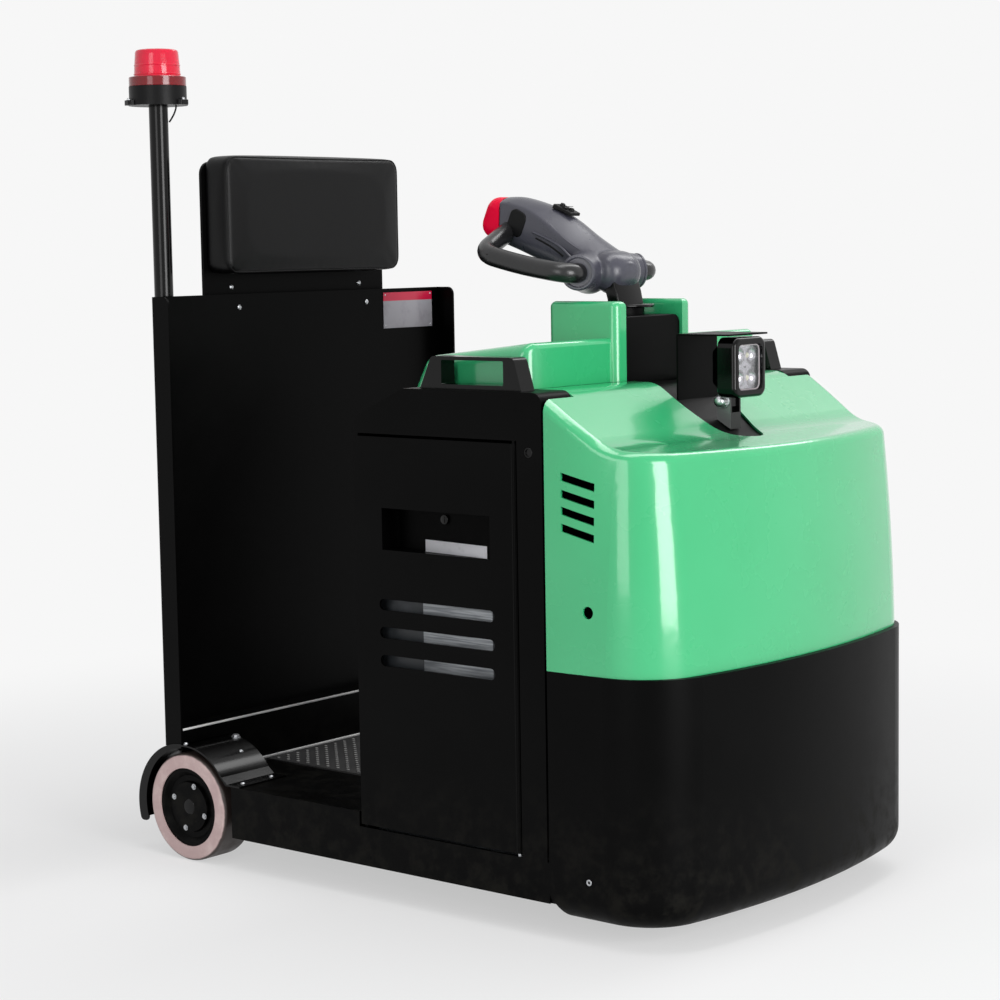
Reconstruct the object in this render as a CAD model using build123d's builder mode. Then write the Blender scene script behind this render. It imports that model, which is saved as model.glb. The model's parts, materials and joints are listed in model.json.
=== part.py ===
from build123d import *
from math import cos, radians, sin, sqrt
import os

os.makedirs("parts", exist_ok=True)

# Stand-on electric tow tractor with three wheels.
# Millimetres. +X drives forwards, +Y is the operator's left, +Z is up, and z = 0 is the ground.
# Distances along the vehicle are given ahead of the rear panel and placed by ahead().
PANEL_X = -512.0


def ahead(x):
    return PANEL_X + x


HALF_W = 395.0          # half the vehicle's width
SHEET = 4.0             # body sheet thickness
FLOOR_Z = 154.0         # top of the platform plate
SILL_Z = 60.0           # underside of the chassis
SILL_TOP = 128.0        # lower edge of the battery openings
BODY_REAR = 500.0       # rear wall of the front body
SEAM_X = 907.0          # front edge of the side covers
DECK_Z = 888.0          # flat top of the body
SHOULDER_Z = 838.0      # where the body's top starts to slope
SHOULDER_X = 612.0

# Rear wheels on a through axle
REAR_AXLE = (56.0, 100.0)
REAR_R = 100.0
REAR_WIDTH = 75.0
REAR_RIM_R = 73.0
WHEEL_INSET = 1.0
WHEEL_OUT = HALF_W - WHEEL_INSET
COVER_R = 116.0         # wheel cover's outer radius
COVER_W = 120.0         # wheel cover's width
AXLE_R = 15.0
RUN = 0.05              # radial clearance of a running fit

# Steered drive wheel
PIVOT_X = 1010.0
DRIVE_R = 115.0
DRIVE_WIDTH = 75.0
DRIVE_RIM_R = 80.0
DRIVE_DECK_Z = 296.0

# Front bumper skirt and hood
FRONT_X = 1174.0
FRONT_R = 1500.0
CORNER_R = 125.0
SKIRT_Z = (35.0, 442.0)
SKIRT_WALL = 10.0
SKIRT_REAR = 911.0
SKIRT_FLANGE = 28.0     # width of the skirt's top flange that carries the hood
HOOD_WALL = 4.0
HOOD_REAR = 826.0
STRIP_W = 79.0          # width of the side covers' top strips
# The hood's nose: height, and how far it stands inside the skirt's outline there
HOOD_STATIONS = ((442.3, 10.3), (640.0, 20.5), (930.0, 53.0))
BREAK = (896.0, 888.0)      # hood profile: end of the flat top
FOOT = (1022.0, 801.0)      # hood profile: foot of the slope
NOSE = (1200.0, 786.5)      # hood profile: past the front edge
BREAK_R = 60.0
FOOT_R = 110.0

# Cowl, column and tiller
COWL_FRONT = 832.0
COWL_INSET = 60.0
COWL_HALF = HALF_W - COWL_INSET
EAR_Y = (81.7, 110.0)
EAR_X = (695.0, 843.0)
EAR_TOP = 1024.5
TILLER_X = 772.0
COLUMN_TOP = 998.0
COLUMN_LONG = 133.0     # column box along the vehicle
COLLAR_TOP = 1016.5     # top of the tiller's collar
HEAD_PITCH = 24.0
HEAD_START = (TILLER_X + 6.0, 1039.0)

# Backrest panel
PANEL_TOP = 1038.0
FLANGE = 46.0
LIP_Z = 245.0
PANEL_BEND = 6.0


def plan(inset, rear, wall=None):
    """Closed outline of the rounded nose. With wall, its sides start that far inside the body's sides."""
    half = HALF_W - inset
    front = FRONT_X - inset
    corner = front - (FRONT_R - sqrt(FRONT_R ** 2 - half ** 2))
    with BuildSketch() as nose:
        with BuildLine():
            ThreePointArc((ahead(corner), -half), (ahead(front), 0), (ahead(corner), half))
            if wall is None:
                Polyline((ahead(corner), half), (ahead(rear), half), (ahead(rear), -half), (ahead(corner), -half))
            else:
                side = HALF_W - wall
                for sy in (-1, 1):
                    TangentArc((ahead(SKIRT_REAR), sy * side), (ahead(corner), sy * half), tangent=(1, 0))
                Polyline((ahead(SKIRT_REAR), side), (ahead(rear), side), (ahead(rear), -side),
                         (ahead(SKIRT_REAR), -side))
        make_face()
        ends = [v for v in nose.vertices() if abs(v.X - ahead(corner)) < 0.5]
        fillet(ends, radius=CORNER_R - inset)
    return nose.sketch


def hood_profile(drop):
    """Points and radii of the hood's top line, moved inwards by drop."""
    m1 = (FOOT[1] - BREAK[1]) / (FOOT[0] - BREAK[0])
    m2 = (NOSE[1] - FOOT[1]) / (NOSE[0] - FOOT[0])
    k1 = sqrt(1 + m1 ** 2)
    k2 = sqrt(1 + m2 ** 2)
    xa = BREAK[0] + drop * (k1 - 1) / m1
    za = BREAK[1] - drop
    xb = FOOT[0] + drop * (k1 - k2) / (m1 - m2)
    zb = BREAK[1] + m1 * (xb - BREAK[0]) - drop * k1
    zc = NOSE[1] - drop * k2
    points = [(ahead(700), za), (ahead(xa), za), (ahead(xb), zb), (ahead(NOSE[0]), zc)]
    return points, [BREAK_R - drop, FOOT_R + drop]


def hood_solid(wall, rounding):
    """Nose that closes in towards its top, cut off by the hood's concave top line."""
    foot = HOOD_STATIONS[0][0]
    with BuildPart() as solid:
        for z, inset in HOOD_STATIONS:
            with BuildSketch(Plane.XY.offset(z - (1 if wall and z == foot else 0))):
                add(plan(inset + wall, 700, wall))
        loft()
        points, radii = hood_profile(wall)
        with BuildSketch(Plane.XZ):
            with BuildLine():
                FilletPolyline(*points, radius=radii)
                Polyline(points[-1], (ahead(1200), 1000), (ahead(700), 1000), points[0])
            make_face()
        extrude(amount=HALF_W + 100, both=True, mode=Mode.SUBTRACT)
        top = [e for e in solid.edges() if e.center().Z > 740 and e.center().X > ahead(760)]
        rim = [e for e in top if abs((e @ 0).Y - (e @ 1).Y) < 60 or e.center().X > ahead(1060)]
        rim = [e for e in rim if abs(e.center().Y) > 250 or e.center().X > ahead(1100)]
        fillet(rim, radius=rounding)
    return solid.part


COVER_END = HALF_W - COVER_W    # inner end of a wheel cover

# Chassis: platform plate, sills, bottom plate, axle box and battery bulkhead
with BuildPart() as chassis_frame:
    for z0, front in ((FLOOR_Z - 6, 492), (SILL_Z, 886)):
        with BuildSketch(Plane.XY.offset(z0)):
            with Locations((ahead((174 + front) / 2), 0)):
                Rectangle(front - 174, 2 * HALF_W)
            with Locations((ahead(70), 0)):
                Rectangle(220, 2 * (COVER_END - 1))
            with Locations((ahead(490), 0)):
                Rectangle(32, 2 * (HALF_W - 6))
        extrude(amount=6)
    for sy in (-1, 1):
        with BuildSketch(Plane.XZ.offset(-sy * HALF_W)):
            with BuildLine():
                Polyline(
                    (ahead(174), SILL_Z), (ahead(SKIRT_REAR), SILL_Z),
                    (ahead(SKIRT_REAR), SILL_TOP), (ahead(492), SILL_TOP),
                    (ahead(492), FLOOR_Z), (ahead(174), FLOOR_Z), close=True,
                )
            make_face()
        extrude(amount=sy * 6)
        with BuildSketch(Plane.XZ.offset(-sy * (COVER_END - 1))):
            with Locations((ahead(70), (SILL_Z + FLOOR_Z) / 2)):
                Rectangle(220, FLOOR_Z - SILL_Z)
            with Locations((ahead(REAR_AXLE[0]), REAR_AXLE[1])):
                Circle(AXLE_R + RUN, mode=Mode.SUBTRACT)
        extrude(amount=sy * 8)
    for x0, half, top in (
        (-40, COVER_END - 1, FLOOR_Z), (174, HALF_W, FLOOR_Z),
        (500, HALF_W - 6, FLOOR_Z), (880, HALF_W - SKIRT_WALL - 1, 436),
    ):
        with Locations((ahead(x0 + 3), 0, (SILL_Z + top) / 2)):
            Box(6, 2 * half, top - SILL_Z)
chassis_frame.part.label = "chassis_frame"
export_step(chassis_frame.part, "parts/chassis_frame.step")

# Anti-slip mat between the wheel covers and the body
with BuildPart() as platform_mat:
    with BuildSketch(Plane.XY.offset(FLOOR_Z)):
        with Locations((ahead(276.5), 0)):
            Rectangle(439, 376)
    extrude(amount=3)
platform_mat.part.label = "platform_mat"
export_step(platform_mat.part, "parts/platform_mat.step")

# Fixed rear axle
with BuildPart() as rear_axle:
    with Locations(Location((ahead(REAR_AXLE[0]), 0, REAR_AXLE[1]), (90, 0, 0))):
        Cylinder(AXLE_R, 2 * (HALF_W - 15))
rear_axle.part.label = "rear_axle"
export_step(rear_axle.part, "parts/rear_axle.step")

# Rear panel: a tray of folded sheet that the operator leans against
with BuildPart() as rear_panel:
    with BuildSketch(Plane.XY.offset(FLOOR_Z)):
        with Locations((ahead(SHEET / 2), 0)):
            Rectangle(SHEET, 2 * HALF_W)
    extrude(amount=PANEL_TOP - FLOOR_Z)
    for sy in (-1, 1):
        with BuildSketch(Plane.XZ.offset(-sy * HALF_W)) as outline:
            with Locations((ahead(FLANGE / 2), (FLOOR_Z + PANEL_TOP) / 2)):
                Rectangle(FLANGE, PANEL_TOP - FLOOR_Z)
            corner = [v for v in outline.vertices() if v.X > ahead(40) and v.Y > 1000]
            fillet(corner, radius=15)
        extrude(amount=sy * SHEET)
    with Locations((ahead(FLANGE / 2), 0, LIP_Z - SHEET / 2)):
        Box(FLANGE, 2 * HALF_W, SHEET)
    bends = [e for e in rear_panel.edges().filter_by(Axis.Z) if e.center().X < ahead(1)]
    fillet([e for e in bends if abs(e.center().Y) > HALF_W - 1], radius=PANEL_BEND)
    for sy in (-1, 1):
        with Locations(Location((ahead(REAR_AXLE[0]), sy * (COVER_END + 60.5), REAR_AXLE[1]), (90, 0, 0))):
            Cylinder(COVER_R + 1, COVER_W + 2, mode=Mode.SUBTRACT)
        with Locations(Location((ahead(46), sy * (HALF_W + 1), 96), (90, 0, 0))):
            Cylinder(122, 12, mode=Mode.SUBTRACT)
rear_panel.part.label = "rear_panel"
export_step(rear_panel.part, "parts/rear_panel.step")

# Kick plate below the tray, notched over the wheel covers
with BuildPart() as kick_plate:
    with Locations((ahead(FLANGE - SHEET / 2), 0, (FLOOR_Z + LIP_Z - SHEET) / 2)):
        Box(SHEET, 2 * (HALF_W - SHEET), LIP_Z - SHEET - FLOOR_Z)
    for sy in (-1, 1):
        with Locations(Location((ahead(REAR_AXLE[0]), sy * (COVER_END + 60.5), REAR_AXLE[1]), (90, 0, 0))):
            Cylinder(COVER_R + 1, COVER_W + 2, mode=Mode.SUBTRACT)
kick_plate.part.label = "kick_plate"
export_step(kick_plate.part, "parts/kick_plate.step")

# Two box-section posts behind the panel
with BuildPart() as panel_posts:
    for sy in (-1, 1):
        with BuildSketch(Plane.XY.offset(FLOOR_Z)):
            with Locations((ahead(-17), sy * 150)):
                RectangleRounded(34, 44, 5)
                RectangleRounded(28, 38, 2.5, mode=Mode.SUBTRACT)
        extrude(amount=786)
panel_posts.part.label = "panel_posts"
export_step(panel_posts.part, "parts/panel_posts.step")

# Plate that carries the back cushion, on four spacers
with BuildPart() as backrest_plate:
    with BuildSketch(Plane.YZ.offset(ahead(-22))) as outline:
        with Locations((0, (960 + 1285) / 2)):
            Rectangle(492, 325)
        fillet([v for v in outline.vertices() if v.Y > 1200], radius=24)
        fillet([v for v in outline.vertices() if v.Y < 1000], radius=12)
    extrude(amount=6)
    with Locations(*[(ahead(-8), y, 1014) for y in (-170, 170)]):
        Cylinder(12, 16, rotation=(0, 90, 0))
backrest_plate.part.label = "backrest_plate"
export_step(backrest_plate.part, "parts/backrest_plate.step")

# Back cushion
with BuildPart() as backrest_cushion:
    with Locations((ahead(-16 + 32), -2, (1075 + 1297) / 2)):
        Box(64, 476, 222)
    fillet(backrest_cushion.edges().filter_by(Axis.X), radius=26)
    fillet(backrest_cushion.faces().sort_by(Axis.X)[-1].edges(), radius=20)
backrest_cushion.part.label = "backrest_cushion"
export_step(backrest_cushion.part, "parts/backrest_cushion.step")

# Wheel covers: a curved tunnel with a rear lip and an inner end wall
for side, sy in (("right", -1), ("left", 1)):
    cx = ahead(REAR_AXLE[0])
    cz = REAR_AXLE[1]
    inner_r = COVER_R - 3
    with BuildPart() as wheel_cover:
        with BuildSketch(Plane.XZ.offset(-sy * HALF_W)):
            with BuildLine():
                CenterArc((cx, cz), COVER_R, 36, 160)
                CenterArc((cx, cz), inner_r, 36, 160)
                start_out = (cx + COVER_R * cos(radians(36)), cz + COVER_R * sin(radians(36)))
                start_in = (cx + inner_r * cos(radians(36)), cz + inner_r * sin(radians(36)))
                end_out = (cx + COVER_R * cos(radians(196)), cz + COVER_R * sin(radians(196)))
                end_in = (cx + inner_r * cos(radians(196)), cz + inner_r * sin(radians(196)))
                Line(end_out, end_in)
                Polyline(
                    start_out, (ahead(164), FLOOR_Z + 3), (ahead(196), FLOOR_Z + 3),
                    (ahead(196), FLOOR_Z), (ahead(160), FLOOR_Z), start_in,
                )
            make_face()
        extrude(amount=sy * COVER_W)
        with BuildSketch(Plane.XZ.offset(-sy * HALF_W)) as crescent:
            with Locations((ahead(46), 96)):
                Circle(121)
            with Locations((cx, cz)):
                Circle(110, mode=Mode.SUBTRACT)
            with Locations((ahead(150), 100)):
                Rectangle(210, 300, mode=Mode.SUBTRACT)
            with Locations((ahead(0), 0)):
                Rectangle(300, 120, mode=Mode.SUBTRACT)
            fillet([v for v in crescent.vertices() if v.Y < 61], radius=8)
        extrude(amount=sy * 3)
        with BuildSketch(Plane.XZ.offset(-sy * (COVER_END + 3))):
            with Locations((cx, cz)):
                Circle(COVER_R - 1)
            with Locations((cx, 120 - 150)):
                Rectangle(400, 300, mode=Mode.SUBTRACT)
        extrude(amount=sy * 3)
    wheel_cover.part.label = "wheel_cover_" + side
    export_step(wheel_cover.part, "parts/wheel_cover_" + side + ".step")

# Rear wheels: polyurethane tyre on a dished steel hub with a bearing cap
for side, sy in (("right", -1), ("left", 1)):
    cx = ahead(REAR_AXLE[0])
    cz = REAR_AXLE[1]
    out = WHEEL_OUT
    axle_plane = Plane(origin=(cx, 0, cz), x_dir=(1, 0, 0), z_dir=(0, sy, 0))
    with BuildPart() as rear_tyre:
        with BuildSketch(Plane(origin=(cx, 0, cz), x_dir=(0, sy, 0), z_dir=(-1, 0, 0))) as outline:
            with Locations((out - REAR_WIDTH / 2, (REAR_R + REAR_RIM_R) / 2)):
                Rectangle(REAR_WIDTH, REAR_R - REAR_RIM_R)
            fillet([v for v in outline.vertices() if v.Y > 90], radius=8)
        revolve(axis=Axis((cx, 0, cz), (0, 1, 0)))
    rear_tyre.part.label = "rear_tyre_" + side
    export_step(rear_tyre.part, "parts/rear_tyre_" + side + ".step")
    with BuildPart() as rear_hub:
        with BuildSketch(Plane(origin=(cx, 0, cz), x_dir=(0, sy, 0), z_dir=(-1, 0, 0))):
            with BuildLine():
                Polyline(
                    (out - 72, AXLE_R + RUN), (out - 72, 34), (out - 62, 40), (out - 62, 58),
                    (out - 73, 62), (out - 73, REAR_RIM_R), (out - 3, REAR_RIM_R), (out - 3, 66),
                    (out - 11, 58), (out - 11, 48), (out - 5, 46), (out - 5, 0),
                    (out - 13, 0), (out - 13, AXLE_R + RUN), close=True,
                )
            make_face()
        revolve(axis=Axis((cx, 0, cz), (0, 1, 0)))
    rear_hub.part.label = "rear_hub_" + side
    export_step(rear_hub.part, "parts/rear_hub_" + side + ".step")

# Side covers: flat skin with a battery opening below and a top strip folded inwards
DOOR_X = (497.0, 850.0)
DOOR_Z = (133.0, 805.0)
HINGE = (846.0, HALF_W - 6.0)
for side, sy in (("right", -1), ("left", 1)):
    with BuildPart() as side_cover:
        with BuildSketch(Plane.XZ.offset(-sy * HALF_W)) as outline:
            with BuildLine():
                Polyline(
                    (ahead(BODY_REAR), 810), (ahead(BODY_REAR), SHOULDER_Z),
                    (ahead(SHOULDER_X), DECK_Z), (ahead(SEAM_X), DECK_Z), (ahead(SEAM_X), SILL_TOP),
                    (ahead(855), SILL_TOP), (ahead(855), 810), close=True,
                )
            make_face()
            fillet([v for v in outline.vertices() if v.X > ahead(900) and v.Y > 800], radius=18)
            fillet([v for v in outline.vertices() if v.Y > 830 and v.X < ahead(560)], radius=16)
            with Locations((ahead(879), 792)):
                Circle(9, mode=Mode.SUBTRACT)
        extrude(amount=sy * SHEET)
        with BuildSketch(Plane.XZ.offset(-sy * (HALF_W - SHEET))):
            with BuildLine():
                FilletPolyline(
                    (ahead(SHOULDER_X), DECK_Z), (ahead(SEAM_X), DECK_Z), (ahead(SEAM_X), 868),
                    radius=18,
                )
                FilletPolyline(
                    (ahead(SHOULDER_X), DECK_Z - 4), (ahead(SEAM_X - 4), DECK_Z - 4), (ahead(SEAM_X - 4), 868),
                    radius=14,
                )
                Line((ahead(SHOULDER_X), DECK_Z), (ahead(SHOULDER_X), DECK_Z - 4))
                Line((ahead(SEAM_X), 868), (ahead(SEAM_X - 4), 868))
            make_face()
        extrude(amount=sy * (STRIP_W - SHEET))
        with Locations((ahead(HINGE[0]), sy * HINGE[1], 805)):
            Cylinder(4, 22)
        with Locations((ahead(HINGE[0] + 2), sy * HINGE[1], 813)):
            Box(18, 12, 6)
    side_cover.part.label = "side_cover_" + side
    export_step(side_cover.part, "parts/side_cover_" + side + ".step")

    # Battery door: pull recess, three air slots and hinge bosses at its front edge
    with BuildPart() as battery_door:
        with BuildSketch(Plane.XZ.offset(-sy * HALF_W)) as outline:
            with Locations((ahead(sum(DOOR_X) / 2), sum(DOOR_Z) / 2)):
                Rectangle(DOOR_X[1] - DOOR_X[0], DOOR_Z[1] - DOOR_Z[0])
            fillet([v for v in outline.vertices() if v.Y > 700], radius=12)
            with Locations((ahead(677.5), 649.5)):
                Rectangle(237, 71, mode=Mode.SUBTRACT)
            with Locations(*[(ahead(676.5), z) for z in (520.5, 472.5, 424.5)]):
                SlotOverall(253, 19, mode=Mode.SUBTRACT)
        extrude(amount=sy * SHEET)
        for depth, grow, mode in ((32, 4, Mode.ADD), (29, 0, Mode.SUBTRACT)):
            with Locations((ahead(677.5), sy * (HALF_W - depth / 2 - (0 if grow == 0 else 2)), 649.5)):
                Box(237 + grow, depth - (0 if grow == 0 else 4), 71 + grow, mode=mode)
        with Locations((ahead(HINGE[0]), sy * HINGE[1], 469)):
            Cylinder(6.5, 672)
        with Locations((ahead(HINGE[0]), sy * HINGE[1], 469)):
            Cylinder(4 + RUN, 700, mode=Mode.SUBTRACT)
    battery_door.part.label = "battery_door_" + side
    export_step(battery_door.part, "parts/battery_door_" + side + ".step")

# Lower hinge pins of the doors, standing on the sills
with BuildPart() as door_pins:
    for sy in (-1, 1):
        with Locations((ahead(HINGE[0]), sy * HINGE[1], (SILL_TOP + 146) / 2)):
            Cylinder(4, 146 - SILL_TOP)
door_pins.part.label = "door_pins"
export_step(door_pins.part, "parts/door_pins.step")

# Rear wall of the front body, sloping forwards under the cowl
with BuildPart() as body_rear_wall:
    with BuildSketch(Plane.XZ):
        with BuildLine():
            Polyline(
                (ahead(500), FLOOR_Z), (ahead(500), SHOULDER_Z), (ahead(SHOULDER_X), DECK_Z),
                (ahead(640), DECK_Z), (ahead(640), DECK_Z - 4), (ahead(SHOULDER_X + 1), DECK_Z - 4),
                (ahead(504), SHOULDER_Z - 3), (ahead(504), FLOOR_Z), close=True,
            )
        make_face()
    extrude(amount=HALF_W - SHEET, both=True)
    for sy in (-1, 1):
        with Locations((ahead(626), sy * (HALF_W - 25), DECK_Z - 2)):
            Box(30, 140, 6, mode=Mode.SUBTRACT)
body_rear_wall.part.label = "body_rear_wall"
export_step(body_rear_wall.part, "parts/body_rear_wall.step")

# Traction battery in its steel case
with BuildPart() as battery:
    with Locations((ahead(677), 0, (66 + 551) / 2)):
        Box(330, 2 * (HALF_W - 23), 485)
    fillet(battery.edges().filter_by(Axis.Z), radius=6)
battery.part.label = "battery"
export_step(battery.part, "parts/battery.step")

# Front bumper skirt: thick wall with its lower edge rolled under
with BuildPart() as front_skirt:
    with BuildSketch(Plane.XY.offset(SKIRT_Z[0])):
        add(plan(0, SKIRT_REAR))
    extrude(amount=SKIRT_Z[1] - SKIRT_Z[0])
    low = [e for e in front_skirt.edges() if e.center().Z < SKIRT_Z[0] + 1]
    fillet([e for e in low if e.center().X > ahead(SKIRT_REAR + 1)], radius=45)
    with BuildPart(mode=Mode.PRIVATE) as cavity:
        with BuildSketch(Plane.XY.offset(SKIRT_Z[0] + 8)):
            add(plan(SKIRT_WALL, SKIRT_REAR - 60))
        extrude(amount=SKIRT_Z[1])
        low = [e for e in cavity.edges() if e.center().Z < SKIRT_Z[0] + 9]
        fillet([e for e in low if e.center().X > ahead(SKIRT_REAR)], radius=36)
    add(cavity.part, mode=Mode.SUBTRACT)
    with BuildSketch(Plane.XY.offset(SKIRT_Z[1] - 5)):
        add(plan(SKIRT_WALL - 1, SKIRT_REAR))
        add(plan(SKIRT_FLANGE, SKIRT_REAR - 60), mode=Mode.SUBTRACT)
    extrude(amount=5)
    with BuildSketch(Plane.XY.offset(SKIRT_Z[0] - 5)):
        add(plan(48, SKIRT_REAR - 60))
    extrude(amount=40, mode=Mode.SUBTRACT)
    with BuildSketch(Plane.XZ):
        with BuildLine():
            Polyline(
                (ahead(900), 0), (ahead(934), 0), (ahead(934), SKIRT_Z[0]),
                (ahead(920), SILL_Z), (ahead(900), SILL_Z), close=True,
            )
        make_face()
    extrude(amount=500, both=True, mode=Mode.SUBTRACT)
front_skirt.part.label = "front_skirt"
export_step(front_skirt.part, "parts/front_skirt.step")

# Hood: concave moulded shell with side louvres and a leaf-shaped opening for the lamp
LEAF = ((834.5, 85), (862, 78), (900, 72.5), (940, 71), (985, 62), (1030, 42), (1052, 20), (1059, 0))
with BuildPart() as hood:
    add(hood_solid(0, 18))
    add(hood_solid(HOOD_WALL, 14), mode=Mode.SUBTRACT)
    with Locations((ahead(HOOD_REAR - 100), 0, 650)):
        Box(200, 2 * HALF_W + 100, 700, mode=Mode.SUBTRACT)
    for sy in (-1, 1):
        with Locations((ahead(SKIRT_REAR - 100), sy * (HALF_W - STRIP_W + 99.5), 650)):
            Box(200, 200, 700, mode=Mode.SUBTRACT)
    with BuildSketch(Plane.XY.offset(780)):
        with BuildLine():
            for sy in (-1, 1):
                Spline(*[(ahead(x), sy * y) for x, y in LEAF])
                Line((ahead(LEAF[0][0]), sy * LEAF[0][1]), (ahead(800), sy * LEAF[0][1]))
            Line((ahead(800), -LEAF[0][1]), (ahead(800), LEAF[0][1]))
        make_face()
    extrude(amount=130, mode=Mode.SUBTRACT)
    with BuildSketch(Plane.XZ):
        for i in range(4):
            z = 749.5 - 27.0 * i
            with BuildLine():
                Polyline((ahead(943.5), z + 1), (ahead(943.5), z + 14), (ahead(1005.5), z - 1.5),
                         (ahead(1005.5), z - 14.5), close=True)
            make_face()
        with Locations((ahead(994), 543)):
            Circle(10)
    extrude(amount=HALF_W + 100, both=True, mode=Mode.SUBTRACT)
hood.part.label = "hood"
export_step(hood.part, "parts/hood.step")

# Cowl: low box with two ears beside the steering column
def cowl_solid(inset, top_round, ear_round):
    with BuildPart() as solid:
        with BuildSketch(Plane.XZ):
            with BuildLine():
                FilletPolyline(
                    (ahead(568 + inset), 868.6 - (1 if inset else 0)), (ahead(606 + inset), 938 - inset),
                    (ahead(COWL_FRONT - inset), 964 - inset),
                    (ahead(COWL_FRONT - inset), DECK_Z + 0.3 - (1 if inset else 0)),
                    radius=[26 - inset, 10 - inset / 2],
                )
                Polyline(
                    (ahead(COWL_FRONT - inset), DECK_Z + 0.3 - (1 if inset else 0)),
                    (ahead(SHOULDER_X), DECK_Z + 0.3 - (1 if inset else 0)),
                    (ahead(568 + inset), 868.6 - (1 if inset else 0)),
                )
            make_face()
        extrude(amount=COWL_HALF - inset, both=True)
        corner = [e for e in solid.edges().filter_by(Axis.Z) if e.center().X > ahead(800)]
        fillet(corner, radius=24 - inset)
        for sy in (-1, 1):
            foot = DECK_Z + 0.3 - (1 if inset else 0)
            with BuildSketch(Plane.XY.offset(foot)) as outline:
                with Locations((ahead((EAR_X[0] + EAR_X[1]) / 2), sy * (EAR_Y[0] + EAR_Y[1]) / 2)):
                    Rectangle(EAR_X[1] - EAR_X[0] - 2 * inset, EAR_Y[1] - EAR_Y[0] - 2 * inset)
                outer = [v for v in outline.vertices() if abs(v.Y) > sum(EAR_Y) / 2]
                fillet(outer, radius=ear_round)
            extrude(amount=EAR_TOP - foot - inset)
        tops = [e for e in solid.edges() if e.center().Z > EAR_TOP - inset - 1]
        fillet(tops, radius=top_round)
    return solid.part


with BuildPart() as cowl:
    add(cowl_solid(0, 10, 14))
    add(cowl_solid(HOOD_WALL, 6, 10), mode=Mode.SUBTRACT)
    with Locations((ahead(TILLER_X), 0, 950)):
        Box(COLUMN_LONG + 20, 2 * EAR_Y[0], 200, mode=Mode.SUBTRACT)
cowl.part.label = "cowl"
export_step(cowl.part, "parts/cowl.step")

# Column box between the ears, with a bearing boss for the tiller
with BuildPart() as column_box:
    with Locations((ahead(TILLER_X), 0, (880 + COLUMN_TOP) / 2)):
        Box(COLUMN_LONG, 2 * (EAR_Y[0] - 0.3), COLUMN_TOP - 880)
    fillet(column_box.edges().filter_by(Axis.X).group_by(Axis.Z)[-1], radius=16)
    fillet(column_box.edges().group_by(Axis.Z)[-1], radius=3)
    with BuildPart(mode=Mode.PRIVATE) as inside:
        with Locations((ahead(TILLER_X), 0, (870 + COLUMN_TOP - 4) / 2)):
            Box(COLUMN_LONG - 8, 2 * (EAR_Y[0] - 0.3) - 8, COLUMN_TOP - 4 - 870)
        fillet(inside.edges().filter_by(Axis.X).group_by(Axis.Z)[-1], radius=12)
    add(inside.part, mode=Mode.SUBTRACT)
    with Locations((ahead(TILLER_X), 0, COLUMN_TOP + 6)):
        Cylinder(40, 14)
        Cylinder(12 + RUN, 40, mode=Mode.SUBTRACT)
column_box.part.label = "column_box"
export_step(column_box.part, "parts/column_box.step")

# Lamp guard: one folded sheet, leaf-shaped floor, upright and visor
with BuildPart() as lamp_guard:
    upper, upper_r = hood_profile(4.3)
    lower, lower_r = hood_profile(7.3)
    with BuildSketch(Plane.XZ):
        with BuildLine():
            FilletPolyline(*upper, radius=upper_r)
            FilletPolyline(*lower, radius=lower_r)
            Line(upper[0], lower[0])
            Line(upper[-1], lower[-1])
        make_face()
    extrude(amount=96, both=True)
    with BuildSketch(Plane.XY.offset(700)):
        with BuildLine():
            Polyline((ahead(1074), 0), (ahead(1040), 62), (ahead(985), 88), (ahead(838.8), 92),
                     (ahead(838.8), -92), (ahead(985), -88), (ahead(1040), -62), close=True)
        make_face()
    extrude(amount=300, mode=Mode.INTERSECT)
    with BuildSketch(Plane.XZ):
        with BuildLine():
            Polyline((ahead(930), 852), (ahead(930), 969), (ahead(1036), 969), (ahead(1036), 966),
                     (ahead(933), 966), (ahead(933), 850), close=True)
        make_face()
    extrude(amount=58, both=True)
lamp_guard.part.label = "lamp_guard"
export_step(lamp_guard.part, "parts/lamp_guard.step")

# Square work lamp with a deep bezel, its lens and its foot
LAMP = (1041.0, 912.5)      # front face and middle height
with BuildPart() as lamp_body:
    with BuildSketch(Plane.YZ.offset(ahead(LAMP[0]))):
        with Locations((0, LAMP[1])):
            RectangleRounded(95, 101, 17)
    extrude(amount=-35)
    fillet(lamp_body.edges().group_by(Axis.X)[-1], radius=7)
    with BuildSketch(Plane.YZ.offset(ahead(LAMP[0] - 35))):
        with Locations((0, LAMP[1])):
            RectangleRounded(86, 90, 14)
    with BuildSketch(Plane.YZ.offset(ahead(LAMP[0] - 58))):
        with Locations((0, LAMP[1])):
            RectangleRounded(56, 60, 8)
    loft()
    with BuildSketch(Plane.YZ.offset(ahead(LAMP[0]))):
        with Locations((0, LAMP[1])):
            RectangleRounded(71, 77, 10)
    extrude(amount=-24, mode=Mode.SUBTRACT)
    with Locations((ahead(996), 0, 857)):
        Box(20, 22, 22)
    with Locations(Location((ahead(996), 0, 856), (90, 0, 0))):
        Cylinder(5 + RUN, 60, mode=Mode.SUBTRACT)
lamp_body.part.label = "lamp_body"
export_step(lamp_body.part, "parts/lamp_body.step")

with BuildPart() as lamp_lens:
    with BuildSketch(Plane.YZ.offset(ahead(LAMP[0] - 12))):
        with Locations((0, LAMP[1])):
            RectangleRounded(71, 77, 10)
    extrude(amount=4)
lamp_lens.part.label = "lamp_lens"
export_step(lamp_lens.part, "parts/lamp_lens.step")

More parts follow.
